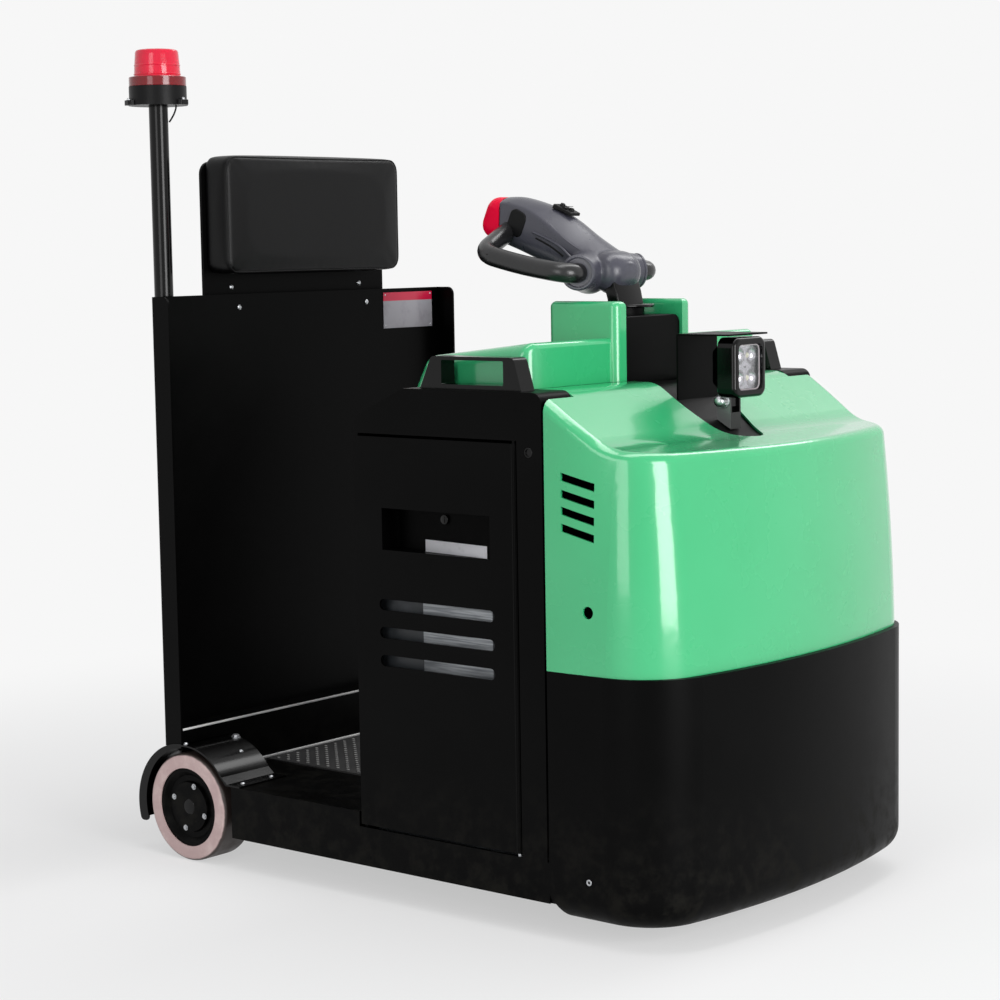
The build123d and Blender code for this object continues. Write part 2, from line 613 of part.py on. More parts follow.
# Foot: a bent strip with two cheeks, the pivot bolt and its cap nut
with BuildPart() as lamp_foot:
    with BuildSketch(Plane.XZ):
        with BuildLine():
            Polyline((ahead(982), 824.2), (ahead(1010), 808), (ahead(1010), 862), (ahead(982), 862), close=True)
        make_face()
    extrude(amount=15, both=True)
    upper, upper_r = hood_profile(4.2)
    with BuildSketch(Plane.XZ):
        with BuildLine():
            FilletPolyline(*upper, radius=upper_r)
            Polyline(upper[-1], (ahead(1200), 600), (ahead(700), 600), upper[0])
        make_face()
    extrude(amount=60, both=True, mode=Mode.SUBTRACT)
    with Locations((ahead(996), 0, 852)):
        Box(60, 22.6, 32, mode=Mode.SUBTRACT)
    with Locations(Location((ahead(996), -2, 856), (90, 0, 0))):
        Cylinder(5, 44)
    with Locations(Location((ahead(996), -20.5, 856), (90, 0, 0))):
        Cylinder(11, 11)
    with Locations((ahead(996), -26, 856)):
        Sphere(9)
lamp_foot.part.label = "lamp_foot"
export_step(lamp_foot.part, "parts/lamp_foot.step")

# Grab handles on the top strips
for side, sy in (("right", -1), ("left", 1)):
    with BuildPart() as grab_handle:
        with BuildSketch(Plane.XZ.offset(-sy * (HALF_W - 16))) as outline:
            with BuildLine():
                Polyline((ahead(637), DECK_Z), (ahead(662), 942), (ahead(838), 942), (ahead(854), DECK_Z),
                         close=True)
            make_face()
            fillet([v for v in outline.vertices() if v.Y > 900], radius=10)
            with Locations((ahead((684 + 816.5) / 2), 916)):
                RectangleRounded(816.5 - 684, 40, 3, mode=Mode.SUBTRACT)
        extrude(amount=sy * 34)
        for x0, x1, z1 in ((656, 680, 932), (821, 838, 932)):
            for z0, top in ((892, 911), (914, z1)):
                lean = 0.46 * (z0 - 892) if x0 < 700 else 0
                with Locations((ahead((x0 + lean + x1) / 2), sy * (HALF_W - 50 + 12), (z0 + top) / 2)):
                    Box(x1 - x0 - lean, 26, top - z0, mode=Mode.SUBTRACT)
    grab_handle.part.label = "grab_handle_" + side
    export_step(grab_handle.part, "parts/grab_handle_" + side + ".step")

# Beacon pole clamped behind the panel's right corner
POLE = (-33.5, 63.5 - HALF_W)
BEACON_Z = 1385.5
with BuildPart() as beacon_pole:
    with Locations(*[(ahead(POLE[0] / 2), POLE[1], z) for z in (800, 980)]):
        Box(-POLE[0], 26, 30)
    with Locations((ahead(POLE[0]), POLE[1], (760 + BEACON_Z) / 2)):
        Cylinder(17.5, BEACON_Z - 760)
    with Locations((ahead(POLE[0]), POLE[1], (750 + BEACON_Z) / 2)):
        Cylinder(15, BEACON_Z - 740, mode=Mode.SUBTRACT)
beacon_pole.part.label = "beacon_pole"
export_step(beacon_pole.part, "parts/beacon_pole.step")

with BuildPart() as beacon_base:
    with BuildSketch(Plane.XY.offset(BEACON_Z)) as flange:
        with Locations((ahead(POLE[0]), POLE[1])):
            Circle(54)
            with PolarLocations(55, 3, start_angle=10):
                Rectangle(14, 26)
        lobes = [v for v in flange.vertices() if Vector(v.X - ahead(POLE[0]), v.Y - POLE[1], 0).length > 58]
        fillet(lobes, radius=6)
    extrude(amount=9)
    with Locations((ahead(POLE[0]), POLE[1], BEACON_Z + 20)):
        Cylinder(52.5, 29)
beacon_base.part.label = "beacon_base"
export_step(beacon_base.part, "parts/beacon_base.step")

with BuildPart() as beacon_dome:
    with BuildSketch(Plane.XZ.offset(-POLE[1])):
        with BuildLine():
            px = ahead(POLE[0])
            Polyline((px, 1420), (px + 52, 1420), (px + 52, 1437), (px + 42, 1437), (px + 39, 1478))
            RadiusArc((px + 39, 1478), (px + 31, 1486), -8)
            Polyline((px + 31, 1486), (px, 1487), (px, 1420))
        make_face()
    revolve(axis=Axis((px, POLE[1], 0), (0, 0, 1)))
beacon_dome.part.label = "beacon_dome"
export_step(beacon_dome.part, "parts/beacon_dome.step")

# Short lead from the beacon's flange into the pole
with BuildPart() as beacon_lead:
    side_x = cos(radians(39.8))
    side_y = sin(radians(39.8))
    route = [
        (ahead(POLE[0]) + d * side_x, POLE[1] + d * side_y, z)
        for d, z in ((33, BEACON_Z), (32, BEACON_Z - 13), (19.3, BEACON_Z - 30))
    ]
    with BuildLine() as lead_path:
        FilletPolyline(*route, radius=12)
    with BuildSketch(Plane(origin=route[0], z_dir=lead_path.line % 0)):
        Circle(1.6)
    sweep()
beacon_lead.part.label = "beacon_lead"
export_step(beacon_lead.part, "parts/beacon_lead.step")

# Stepped tow coupling: two jaws with one line of pin bores
HITCH_X = -126.0
with BuildPart() as tow_coupling:
    with Locations((ahead(-44), 0, 290)):
        Box(8, 180, 236)
    for z in (190, 262, 334, 390):
        with BuildSketch(Plane.XY.offset(z - 6)):
            with BuildLine():
                Line((ahead(-48), -52), (ahead(HITCH_X), -24))
                ThreePointArc((ahead(HITCH_X), -24), (ahead(HITCH_X - 24), 0), (ahead(HITCH_X), 24))
                Line((ahead(HITCH_X), 24), (ahead(-48), 52))
                Line((ahead(-48), 52), (ahead(-48), -52))
            make_face()
            with Locations((ahead(HITCH_X), 0)):
                Circle(13, mode=Mode.SUBTRACT)
        extrude(amount=12)
tow_coupling.part.label = "tow_coupling"
export_step(tow_coupling.part, "parts/tow_coupling.step")

# Coupling carrier between the posts
with BuildPart() as coupling_carrier:
    with Locations((ahead(-20), 0, 290)):
        Box(40, 256, 236)
    with Locations((ahead(-18), 0, 290)):
        Box(36, 244, 224, mode=Mode.SUBTRACT)
coupling_carrier.part.label = "coupling_carrier"
export_step(coupling_carrier.part, "parts/coupling_carrier.step")

# Deck that carries the drive unit's slewing ring
with BuildPart() as drive_deck:
    with BuildSketch(Plane.XY.offset(DRIVE_DECK_Z)):
        add(plan(SKIRT_WALL + 0.3, 886))
        with Locations((ahead(PIVOT_X), 0)):
            Circle(100, mode=Mode.SUBTRACT)
    extrude(amount=8)
drive_deck.part.label = "drive_deck"
export_step(drive_deck.part, "parts/drive_deck.step")

# Drive unit: slewing ring, gear case beside the wheel and its stub axle
with BuildPart() as drive_case:
    with Locations((ahead(PIVOT_X), 0, 0)):
        with Locations((0, 0, DRIVE_DECK_Z - 6.3)):
            Cylinder(110, 12)
        with Locations((0, 0, 300)):
            Cylinder(100 - RUN, 30)
        with Locations((0, 0, 312.65)):
            Cylinder(112, 16.7)
    with BuildSketch(Plane.XZ.offset(-43)):
        with Locations((ahead(PIVOT_X), DRIVE_R)):
            Circle(46)
        with BuildLine():
            Polyline((ahead(PIVOT_X - 45), DRIVE_R), (ahead(PIVOT_X - 70), 286), (ahead(PIVOT_X + 70), 286),
                     (ahead(PIVOT_X + 45), DRIVE_R), close=True)
        make_face()
    extrude(amount=-36)
    with Locations(Location((ahead(PIVOT_X), 6, DRIVE_R), (90, 0, 0))):
        Cylinder(AXLE_R, 76)
drive_case.part.label = "drive_case"
export_step(drive_case.part, "parts/drive_case.step")

with BuildPart() as drive_motor:
    with Locations((ahead(PIVOT_X), 0, 411)):
        Cylinder(78, 180)
    fillet(drive_motor.edges().group_by(Axis.Z)[-1], radius=10)
    with Locations((ahead(PIVOT_X), 0, 511)):
        Cylinder(40, 24)
drive_motor.part.label = "drive_motor"
export_step(drive_motor.part, "parts/drive_motor.step")

with BuildPart() as drive_tyre:
    with BuildSketch(Plane(origin=(ahead(PIVOT_X), 0, DRIVE_R), x_dir=(0, 1, 0), z_dir=(-1, 0, 0))) as outline:
        with Locations((0, (DRIVE_R + DRIVE_RIM_R) / 2)):
            Rectangle(DRIVE_WIDTH, DRIVE_R - DRIVE_RIM_R)
        fillet([v for v in outline.vertices() if v.Y > 100], radius=8)
    revolve(axis=Axis((ahead(PIVOT_X), 0, DRIVE_R), (0, 1, 0)))
drive_tyre.part.label = "drive_tyre"
export_step(drive_tyre.part, "parts/drive_tyre.step")

with BuildPart() as drive_hub:
    with BuildSketch(Plane(origin=(ahead(PIVOT_X), 0, DRIVE_R), x_dir=(0, 1, 0), z_dir=(-1, 0, 0))):
        with BuildLine():
            Polyline((36, AXLE_R + RUN), (36, DRIVE_RIM_R), (-36, DRIVE_RIM_R), (-36, 66), (-28, 60),
                     (-28, 46), (-38, 42), (-38, 0), (-33, 0), (-33, AXLE_R + RUN), close=True)
        make_face()
    revolve(axis=Axis((ahead(PIVOT_X), 0, DRIVE_R), (0, 1, 0)))
drive_hub.part.label = "drive_hub"
export_step(drive_hub.part, "parts/drive_hub.step")

# Tiller: shaft and neck, moulded head, two loop grips, switch pads and the red rear button
head_dir = Vector(-cos(radians(HEAD_PITCH)), 0, sin(radians(HEAD_PITCH)))
head_up = Vector(sin(radians(HEAD_PITCH)), 0, cos(radians(HEAD_PITCH)))
head_start = Vector(ahead(HEAD_START[0]), 0, HEAD_START[1])


def head_point(s, y, h=0.0):
    """Point on the head: s along it, y to the left, h above its middle line."""
    return head_start + head_dir * s + Vector(0, y, 0) + head_up * h


HEAD_STATIONS = (
    # along, width, bottom, top, corner
    (8, 64, 32, 58, 12),
    (30, 78, 10, 61, 22),
    (60, 84, -12, 62, 30),
    (100, 86, -17, 68, 32),
    (145, 86, -18, 77, 32),
    (186, 82, -20, 76, 30),
    (225, 76, -22, 71.5, 28),
    (268, 68, -26, 63, 26),
    (300, 60, -30, 50, 24),
    (318, 50, -28, 43, 20),
    (327, 38, -20, 35, 16),
)
BUTTON_X = TILLER_X - 248.0     # joint between the head and its red rear button


def head_form():
    with BuildPart() as form:
        for s, wide, low, high, corner in HEAD_STATIONS:
            with BuildSketch(Plane(origin=head_point(s, 0, (low + high) / 2), x_dir=(0, 1, 0), z_dir=head_dir)):
                RectangleRounded(wide, high - low, corner)
        loft()
    return form.part


# The head with its two horns that hold the grips
with BuildPart() as tiller_head:
    add(head_form())
    with Locations((ahead(BUTTON_X + 0.15 - 100), 0, 1150)):
        Box(200, 200, 400, mode=Mode.SUBTRACT)
    for sy in (-1, 1):
        for x, y, z, r in ((-12, 33.4, 1071, 37), (-18, 62, 1072, 31), (-24, 84, 1074, 22), (-26, 92, 1074, 20.5)):
            with BuildSketch(Plane(origin=(ahead(TILLER_X + x), sy * y, z), z_dir=(0, sy, 0))):
                Circle(r)
        loft()
tiller_head.part.label = "tiller_head"
export_step(tiller_head.part, "parts/tiller_head.step")

with BuildPart() as tiller_neck:
    with Locations((ahead(TILLER_X), 0, (925 + COLLAR_TOP) / 2)):
        Cylinder(12, COLLAR_TOP - 925)
    with Locations((ahead(TILLER_X), 0, (COLLAR_TOP + COLUMN_TOP + 13.3) / 2)):
        Cylinder(57, COLLAR_TOP - COLUMN_TOP - 13.3)
    with BuildSketch(Plane.XZ):
        with BuildLine():
            nx = ahead(TILLER_X)
            Polyline((nx - 35, COLLAR_TOP - 1), (nx + 10, COLLAR_TOP - 1), (nx + 10, 1030))
            ThreePointArc((nx + 10, 1030), (nx + 4, 1048), (nx - 10, 1066))
            Polyline((nx - 10, 1066), (nx - 14, 1084), (nx - 46, 1078), (nx - 42, 1060))
            ThreePointArc((nx - 42, 1060), (nx - 36, 1040), (nx - 35, COLLAR_TOP - 1))
        make_face()
    extrude(amount=33, both=True)
    add(tiller_head.part, mode=Mode.SUBTRACT)
tiller_neck.part.label = "tiller_neck"
export_step(tiller_neck.part, "parts/tiller_neck.step")

# Loop grips from the horns back to the head
GRIP_ROUTE = ((-26, 80, 1072), (-24, 124, 1071), (-132, 124, 1089), (-216, 122, 1115), (-230, 20, 1150))
with BuildPart() as tiller_grips:
    for sy in (-1, 1):
        route = [(ahead(TILLER_X + x), sy * y, z) for x, y, z in GRIP_ROUTE]
        with BuildLine() as grip_path:
            FilletPolyline(*route, radius=[30, 200, 34])
        with BuildSketch(Plane(origin=route[0], z_dir=grip_path.line % 0)):
            Circle(15.5)
        sweep()
    add(tiller_head.part, mode=Mode.SUBTRACT)
    with Locations((ahead(BUTTON_X + 0.15 - 100), 0, 1150)):
        Box(200, 100, 400, mode=Mode.SUBTRACT)
tiller_grips.part.label = "tiller_grips"
export_step(tiller_grips.part, "parts/tiller_grips.step")

# Thumb paddles beside the head and the rocker on top
with BuildPart() as tiller_switches:
    for sy in (-1, 1):
        at = head_point(240, sy * 32, 26)
        with Locations(Location((at.X, at.Y, at.Z), (0, HEAD_PITCH, 0))):
            Box(38, 16, 46)
    fillet(tiller_switches.edges().filter_by(Axis.Y), radius=12)
    at = head_point(172, 0, 77)
    with Locations(Location((at.X, at.Y, at.Z), (0, HEAD_PITCH, 0))):
        Box(44, 28, 12)
    fillet(tiller_switches.edges(), radius=2.5)
    add(tiller_head.part, mode=Mode.SUBTRACT)
    add(tiller_grips.part, mode=Mode.SUBTRACT)
tiller_switches.part.label = "tiller_switches"
export_step(tiller_switches.part, "parts/tiller_switches.step")

with BuildPart() as rear_button:
    add(head_form())
    with Locations((ahead(BUTTON_X - 0.15 + 200), 0, 1150)):
        Box(400, 200, 400, mode=Mode.SUBTRACT)
rear_button.part.label = "rear_button"
export_step(rear_button.part, "parts/rear_button.step")
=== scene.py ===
"""Looks of the stand-on baggage tug: finishes, small fittings, camera and light around the CAD frame."""

import json
from math import cos, pi, radians, sin

import bmesh
import bpy
from mathutils import Matrix, Vector
from mathutils.bvhtree import BVHTree


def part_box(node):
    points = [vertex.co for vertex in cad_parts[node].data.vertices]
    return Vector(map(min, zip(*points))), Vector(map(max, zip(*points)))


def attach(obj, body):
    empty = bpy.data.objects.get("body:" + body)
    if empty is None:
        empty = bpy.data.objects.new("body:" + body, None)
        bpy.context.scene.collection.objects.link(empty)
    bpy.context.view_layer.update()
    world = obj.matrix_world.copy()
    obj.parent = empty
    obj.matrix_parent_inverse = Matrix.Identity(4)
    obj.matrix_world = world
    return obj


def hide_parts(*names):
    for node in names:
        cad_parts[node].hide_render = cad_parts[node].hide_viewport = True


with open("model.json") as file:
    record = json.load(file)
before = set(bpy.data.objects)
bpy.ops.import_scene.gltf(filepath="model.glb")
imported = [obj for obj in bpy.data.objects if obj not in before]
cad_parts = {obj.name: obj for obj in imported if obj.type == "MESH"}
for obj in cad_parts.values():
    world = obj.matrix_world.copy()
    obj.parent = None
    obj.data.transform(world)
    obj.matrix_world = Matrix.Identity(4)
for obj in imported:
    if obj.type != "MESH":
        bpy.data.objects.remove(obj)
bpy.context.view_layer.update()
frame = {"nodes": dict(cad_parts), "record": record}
NODES = frame["nodes"]


# Camera, at the photograph's viewing angle
CAMERA_AT = Vector((2.78398, -3.36506, 1.12513))
CAMERA_YAW = radians(39.824)
CAMERA_PITCH = radians(6.0849)
CAMERA_ROLL = radians(-0.9177)
SENSOR_MM = 36.0
LENS_MM = 86.679


def make_camera():
    """The camera, turned, tipped and rolled as the photograph's was."""
    right = Vector((cos(CAMERA_YAW), sin(CAMERA_YAW), 0))
    level = Vector((-sin(CAMERA_YAW), cos(CAMERA_YAW), 0))
    ahead = level * cos(CAMERA_PITCH) - Vector((0, 0, sin(CAMERA_PITCH)))
    up = right.cross(ahead)
    across = right * cos(CAMERA_ROLL) + up * sin(CAMERA_ROLL)
    upwards = up * cos(CAMERA_ROLL) - right * sin(CAMERA_ROLL)
    camera = bpy.data.objects.new("camera", bpy.data.cameras.new("camera"))
    camera.data.sensor_width = SENSOR_MM
    camera.data.lens = LENS_MM
    turned_to = Matrix((across, upwards, -ahead)).transposed().to_4x4()
    camera.matrix_world = Matrix.Translation(CAMERA_AT) @ turned_to
    bpy.context.scene.collection.objects.link(camera)
    bpy.context.scene.camera = camera


# Finishes


class Value:
    """A socket that holds a number; arithmetic on it adds Math nodes."""

    def __init__(self, tree, socket):
        self.tree = tree
        self.socket = socket

    def _maths(self, operation, first, second):
        node = self.tree.nodes.new("ShaderNodeMath")
        node.operation = operation
        for slot, value in zip(node.inputs, (first, second)):
            if isinstance(value, Value):
                self.tree.links.new(value.socket, slot)
            else:
                slot.default_value = value
        return Value(self.tree, node.outputs[0])

    def __add__(self, other):
        return self._maths("ADD", self, other)

    def __sub__(self, other):
        return self._maths("SUBTRACT", self, other)

    def __rsub__(self, other):
        return self._maths("SUBTRACT", other, self)

    def __mul__(self, other):
        return self._maths("MULTIPLY", self, other)

    def __pow__(self, other):
        return self._maths("POWER", self, other)

    __radd__ = __add__
    __rmul__ = __mul__


class Nodes:
    """A node tree under construction."""

    def __init__(self, tree):
        self.tree = tree

    def node(self, kind, sockets=None, output=0, **settings):
        """Any node by its type, its settings and its sockets' values or links; returns one of its outputs."""
        node = self.tree.nodes.new("ShaderNode" + kind)
        for key, value in settings.items():
            setattr(node, key, value)
        for key, value in (sockets or {}).items():
            if isinstance(key, int):
                slot = node.inputs[key]
            else:
                slot = next(s for s in node.inputs if s.name == key and s.enabled)
            if isinstance(value, Value):
                self.tree.links.new(value.socket, slot)
            else:
                slot.default_value = value
        found = next(s for s in node.outputs if s.enabled) if output == 0 else node.outputs[output]
        return Value(self.tree, found)

    def step(self, value, low, high):
        """0 below low, 1 above high, smooth between."""
        sockets = {"Value": value, "From Min": low, "From Max": high}
        return self.node("MapRange", sockets, interpolation_type="SMOOTHSTEP")

    def mix(self, share, first, second):
        return self.node("Mix", {"Factor": share, "A": first, "B": second}, data_type="RGBA")


class Finish(Nodes):
    """A material under construction around its Principled shader."""

    def __init__(self, name, **fixed):
        self.material = bpy.data.materials.new(name)
        self.material.use_nodes = True
        super().__init__(self.material.node_tree)
        self.shader = self.tree.nodes["Principled BSDF"]
        self.place = self.node("TexCoord", output="Object")
        for socket, value in fixed.items():
            self.shader.inputs[socket.replace("_", " ").title().replace("Ior", "IOR")].default_value = value

    def noise(self, scale, detail=3.0, roughness=0.55, at=None):
        sockets = {"Vector": at or self.place, "Scale": scale, "Detail": detail, "Roughness": roughness}
        return self.node("TexNoise", sockets)

    def cells(self, scale, feature):
        return self.node("TexVoronoi", {"Vector": self.place, "Scale": scale}, "Distance", feature=feature)

    def axis(self, name):
        return self.node("SeparateXYZ", {"Vector": self.place}, name)

    def stretched(self, scale):
        return self.node("Mapping", {"Vector": self.place, "Scale": scale})

    def set(self, socket, value):
        self.tree.links.new(value.socket, self.shader.inputs[socket])
        return self

    def bump(self, height, strength, distance):
        sockets = {"Height": height, "Strength": strength, "Distance": distance}
        return self.set("Normal", self.node("Bump", sockets))


def colour(red, green, blue):
    """An 8-bit screen colour as the shader's linear one."""
    return tuple((c / 255) ** 2.2 for c in (red, green, blue)) + (1.0,)


def powder_coat():
    """Satin black powder coat: fine orange peel and faint handling marks."""
    f = Finish("black_powder_coat", specular_ior_level=0.05)
    marks = f.step(f.noise(2.6, 5), 0.35, 0.75)
    dust = f.step(f.axis("Z") + 0.12 * f.noise(7, 5), 0.34, 0.06) * f.step(f.noise(34, 6, 0.65), 0.42, 0.7)
    paint = f.mix(marks, colour(7, 7, 7), colour(12, 12, 12))
    f.set("Base Color", f.mix(0.35 * dust, paint, colour(44, 43, 39)))
    f.set("Roughness", 0.3 + 0.1 * marks + 0.05 * f.noise(60) + 0.25 * dust)
    return f.bump(f.noise(420, 2) + 0.6 * f.noise(1300, 2), 0.10, 0.0012).material


def gloss_black():
    """Glossy black paint of the covers, handles and column."""
    f = Finish("gloss_black", specular_ior_level=0.22)
    marks = f.step(f.noise(5, 5), 0.4, 0.8)
    f.set("Base Color", f.mix(marks, colour(8, 8, 8), colour(13, 12, 12)))
    f.set("Roughness", 0.14 + 0.08 * marks)
    return f.bump(f.noise(260, 2), 0.05, 0.001).material


def green_shell():
    """Green moulded shell under clear lacquer, with a little long-wave ripple."""
    f = Finish("green_shell", coat_weight=1.0, coat_roughness=0.1, specular_ior_level=0.3)
    tone = f.step(f.noise(1.8, 3), 0.3, 0.7)
    f.set("Base Color", f.mix(tone, colour(50, 167, 107), colour(60, 174, 115)))
    f.set("Roughness", 0.24 + 0.06 * f.noise(9, 4))
    return f.bump(f.noise(14, 2) + 0.12 * f.noise(380, 2), 0.10, 0.002).material


def mat_rubber():
    """Dull rubber with dust in patches."""
    f = Finish("mat_rubber")
    dust = f.step(f.noise(7, 6), 0.45, 0.75)
    f.set("Base Color", f.mix(dust, colour(26, 26, 27), colour(48, 47, 46)))
    f.set("Roughness", 0.62 + 0.2 * dust)
    return f.bump(f.noise(700, 3), 0.25, 0.0006).material


def zinc():
    """Zinc-plated steel with a drawn grain."""
    f = Finish("zinc_plate", metallic=1.0)
    grain = f.noise(160, 4, at=f.stretched((1, 1, 6)))
    f.set("Base Color", f.mix(grain, colour(160, 162, 166), colour(196, 198, 200)))
    f.set("Roughness", 0.28 + 0.2 * grain)
    return f.bump(grain, 0.08, 0.0004).material


def casting():
    """Painted cast iron, pitted by its sand mould."""
    f = Finish("painted_casting")
    pits = f.noise(240, 4)
    f.set("Base Color", f.mix(pits, colour(22, 22, 23), colour(36, 36, 38)))
    f.set("Roughness", 0.45 + 0.2 * pits)
    return f.bump(pits, 0.5, 0.0009).material


def battery_case():
    """Scuffed grey battery tray."""
    f = Finish("battery_case")
    scuff = f.step(f.noise(12, 6), 0.5, 0.7)
    f.set("Base Color", f.mix(scuff, colour(44, 47, 50), colour(70, 73, 76)))
    f.set("Roughness", 0.45 + 0.25 * scuff)
    return f.bump(f.noise(300, 2), 0.1, 0.0008).material


def leather():
    """Black imitation leather: pebbled grain with fine pores."""
    f = Finish("imitation_leather", specular_ior_level=0.18)
    drift = f.noise(9, 4)
    cells = f.cells(520, "DISTANCE_TO_EDGE")
    crease = f.step(cells, 0.02, 0.22)
    f.set("Base Color", f.mix(drift, colour(9, 9, 10), colour(15, 15, 16)))
    f.set("Roughness", 0.4 - 0.08 * crease + 0.06 * drift)
    return f.bump(crease + 0.5 * f.noise(900, 3), 0.22, 0.0003).material


def clear_lens():
    """Clear polycarbonate lens."""
    f = Finish("clear_lens", transmission_weight=0.95, ior=1.46)
    f.set("Base Color", f.mix(f.noise(30), colour(232, 236, 238), colour(246, 248, 250)))
    f.set("Roughness", 0.04 + 0.05 * f.noise(90))
    return f.material


RED_COLLAR_TOP = (1.4365, 1.4375)       # m above the ground, where the darker collar ends


def red_lens():
    """Red beacon lens over a darker collar."""
    f = Finish("red_lens", transmission_weight=0.2, ior=1.45, coat_weight=0.2, coat_roughness=0.05)
    body = f.mix(f.noise(20), colour(214, 6, 46), colour(236, 20, 66))
    f.set("Base Color", f.mix(f.step(f.axis("Z"), *RED_COLLAR_TOP), colour(120, 0, 20), body))
    f.set("Roughness", 0.1 + 0.08 * f.noise(50))
    return f.material


def moulded(name, dark, light, rough, grain=0.25, shine=0.5):
    """Moulded plastic with fine spark-eroded grain."""
    f = Finish(name, specular_ior_level=shine)
    drift = f.noise(18, 4)
    f.set("Base Color", f.mix(drift, dark, light))
    f.set("Roughness", rough - 0.06 + 0.14 * drift)
    return f.bump(f.noise(1500, 3), grain, 0.0003).material


REAR_AXLE = (-0.456, 0.1)       # m ahead of the part's middle and above the ground
DRIVE_AXLE = (0.498, 0.115)


def polyurethane(name, axle):
    """Pinkish grey cast tyre with dusty flanks and a tread painted dark: partly wear, partly painted shade from
    under the machine.
    """
    f = Finish(name)
    dust = f.step(f.noise(26, 7, 0.65), 0.4, 0.72)
    out = ((f.axis("X") - axle[0]) ** 2 + (f.axis("Z") - axle[1]) ** 2) ** 0.5
    radius = axle[1]
    # the tread's dark colour is partly wear and partly painted shade from under the machine
    tread_wear_and_shade = f.step(out + 0.003 * f.noise(60, 4), radius - 0.0035, radius - 0.0005)
    flank = f.mix(dust, colour(186, 160, 158), colour(206, 184, 180))
    f.set("Base Color", f.mix(tread_wear_and_shade, flank, colour(58, 50, 47)))
    f.set("Roughness", 0.42 + 0.22 * dust)
    return f.bump(f.noise(180, 4) + 0.4 * f.noise(900, 2), 0.22, 0.0008).material


FINISHES = {
    "black_paint": powder_coat(),
    "black_gloss": gloss_black(),
    "green_shell": green_shell(),
    "mat_rubber": mat_rubber(),
    "steel": zinc(),
    "cast_black": casting(),
    "battery_block": battery_case(),
    "cushion_cover": leather(),
    "clear_lens": clear_lens(),
    "red_lens": red_lens(),
    "red_plastic": moulded("red_plastic", colour(226, 3, 52), colour(240, 8, 62), 0.36, 0.12, 0.1),
    "black_plastic": moulded("black_plastic", colour(10, 10, 11), colour(17, 17, 18), 0.4, shine=0.16),
    "grey_plastic": moulded("grey_plastic", colour(60, 60, 69), colour(72, 72, 81), 0.27),
    "polyurethane": polyurethane("polyurethane", REAR_AXLE),
}


def dress_nodes():
    """Gives each CAD node the finish of its slot in the record."""
    slots = {part["node"]: part["material_slot"] for part in frame["record"]["subparts"]}
    for name, node in NODES.items():
        node.data.materials.clear()
        node.data.materials.append(FINISHES[slots[name]])
    NODES["drive_tyre"].data.materials[0] = polyurethane("drive_polyurethane", DRIVE_AXLE)
    NODES["lamp_foot"].data.materials[0] = lamp_foot_finish()


def lamp_foot_finish():
    """Black bracket with its bare steel bolt and nut on the right."""
    f = Finish("lamp_foot_finish", specular_ior_level=0.4)
    bare = f.step(f.axis("Y"), -0.0148, -0.0152)
    f.set("Base Color", f.mix(bare, colour(20, 20, 20), colour(170, 172, 172)))
    f.set("Metallic", bare)
    f.set("Roughness", 0.25 + 0.15 * f.noise(200, 4))
    return f.material


# Studio: pale floor, even world light and soft boxes
BACKGROUND = (0.93, 0.93, 0.93, 1.0)
SKY = (0.42, 0.42, 0.43, 1.0)
FLOOR_PAINT = (0.8, 0.8, 0.8, 1.0)
FLOOR_SIZE = 40
FLOOR_FADE = (0.8, 2.6)     # m from the part's middle, where the floor turns into the background
FLOOR_GLOW = 0.55           # the share of background in the floor close to the part


def seen_directly(nodes):
    """1 for what the camera sees, straight, mirrored or through glass."""
    path = "LightPath"
    rays = nodes.node(path, output="Is Camera Ray") + nodes.node(path, output="Is Glossy Ray")
    return nodes.step(rays + nodes.node(path, output="Is Transmission Ray"), 0.4, 0.6)


def make_floor():
    """A plain pale floor that keeps the shadow and fades into the background."""
    mesh = bpy.data.meshes.new("studio_floor")
    form = bmesh.new()
    bmesh.ops.create_grid(form, x_segments=1, y_segments=1, size=FLOOR_SIZE)
    form.to_mesh(mesh)
    form.free()
    floor = bpy.data.objects.new("studio_floor", mesh)
    bpy.context.scene.collection.objects.link(floor)
    f = Finish("studio_floor", roughness=0.9, specular_ior_level=0.0)
    f.shader.inputs["Base Color"].default_value = FLOOR_PAINT
    glow = f.node("Emission", {"Color": BACKGROUND, "Strength": 1.0})
    distance = f.node("VectorMath", {"Vector": f.place}, "Value", operation="LENGTH")
    share = seen_directly(f) * (FLOOR_GLOW + (1 - FLOOR_GLOW) * f.step(distance, *FLOOR_FADE))
    mixed = f.node("MixShader", {0: share, 1: Value(f.tree, f.shader.outputs[0]), 2: glow})
    f.tree.links.new(mixed.socket, f.tree.nodes["Material Output"].inputs["Surface"])
    mesh.materials.append(f.material)


def make_world():
    """Even grey light from all round, with the pale background where it is seen."""
    world = bpy.data.worlds.new("studio")
    bpy.context.scene.world = world
    world.use_nodes = True
    nodes = Nodes(world.node_tree)
    shade = nodes.mix(seen_directly(nodes), SKY, BACKGROUND)
    nodes.tree.links.new(shade.socket, nodes.tree.nodes["Background"].inputs["Color"])


SOFT_BOXES = (
    # name, place, aimed at, width, height, watts
    ("key_right", (0.75, -4.4, 1.5), (0.2, -0.3, 0.7), 1.6, 2.6, 38),
    ("strip_front", (4.3, -1.0, 1.3), (0.4, -0.3, 0.8), 2.0, 2.3, 132),
    ("overhead", (0.55, 1.3, 4.0), (0.55, 1.0, 0.5), 1.0, 7.0, 105),
)


def make_lights():
    """Three soft boxes: beside the machine, before it and above its far side."""
    for name, place, target, width, height, watts in SOFT_BOXES:
        lamp = bpy.data.lights.new(name, "AREA")
        lamp.shape = "RECTANGLE"
        lamp.size = width
        lamp.size_y = height
        lamp.energy = watts
        box = bpy.data.objects.new(name, lamp)
        box.location = place
        box.rotation_euler = (Vector(target) - Vector(place)).to_track_quat("-Z", "Y").to_euler()
        bpy.context.scene.collection.objects.link(box)


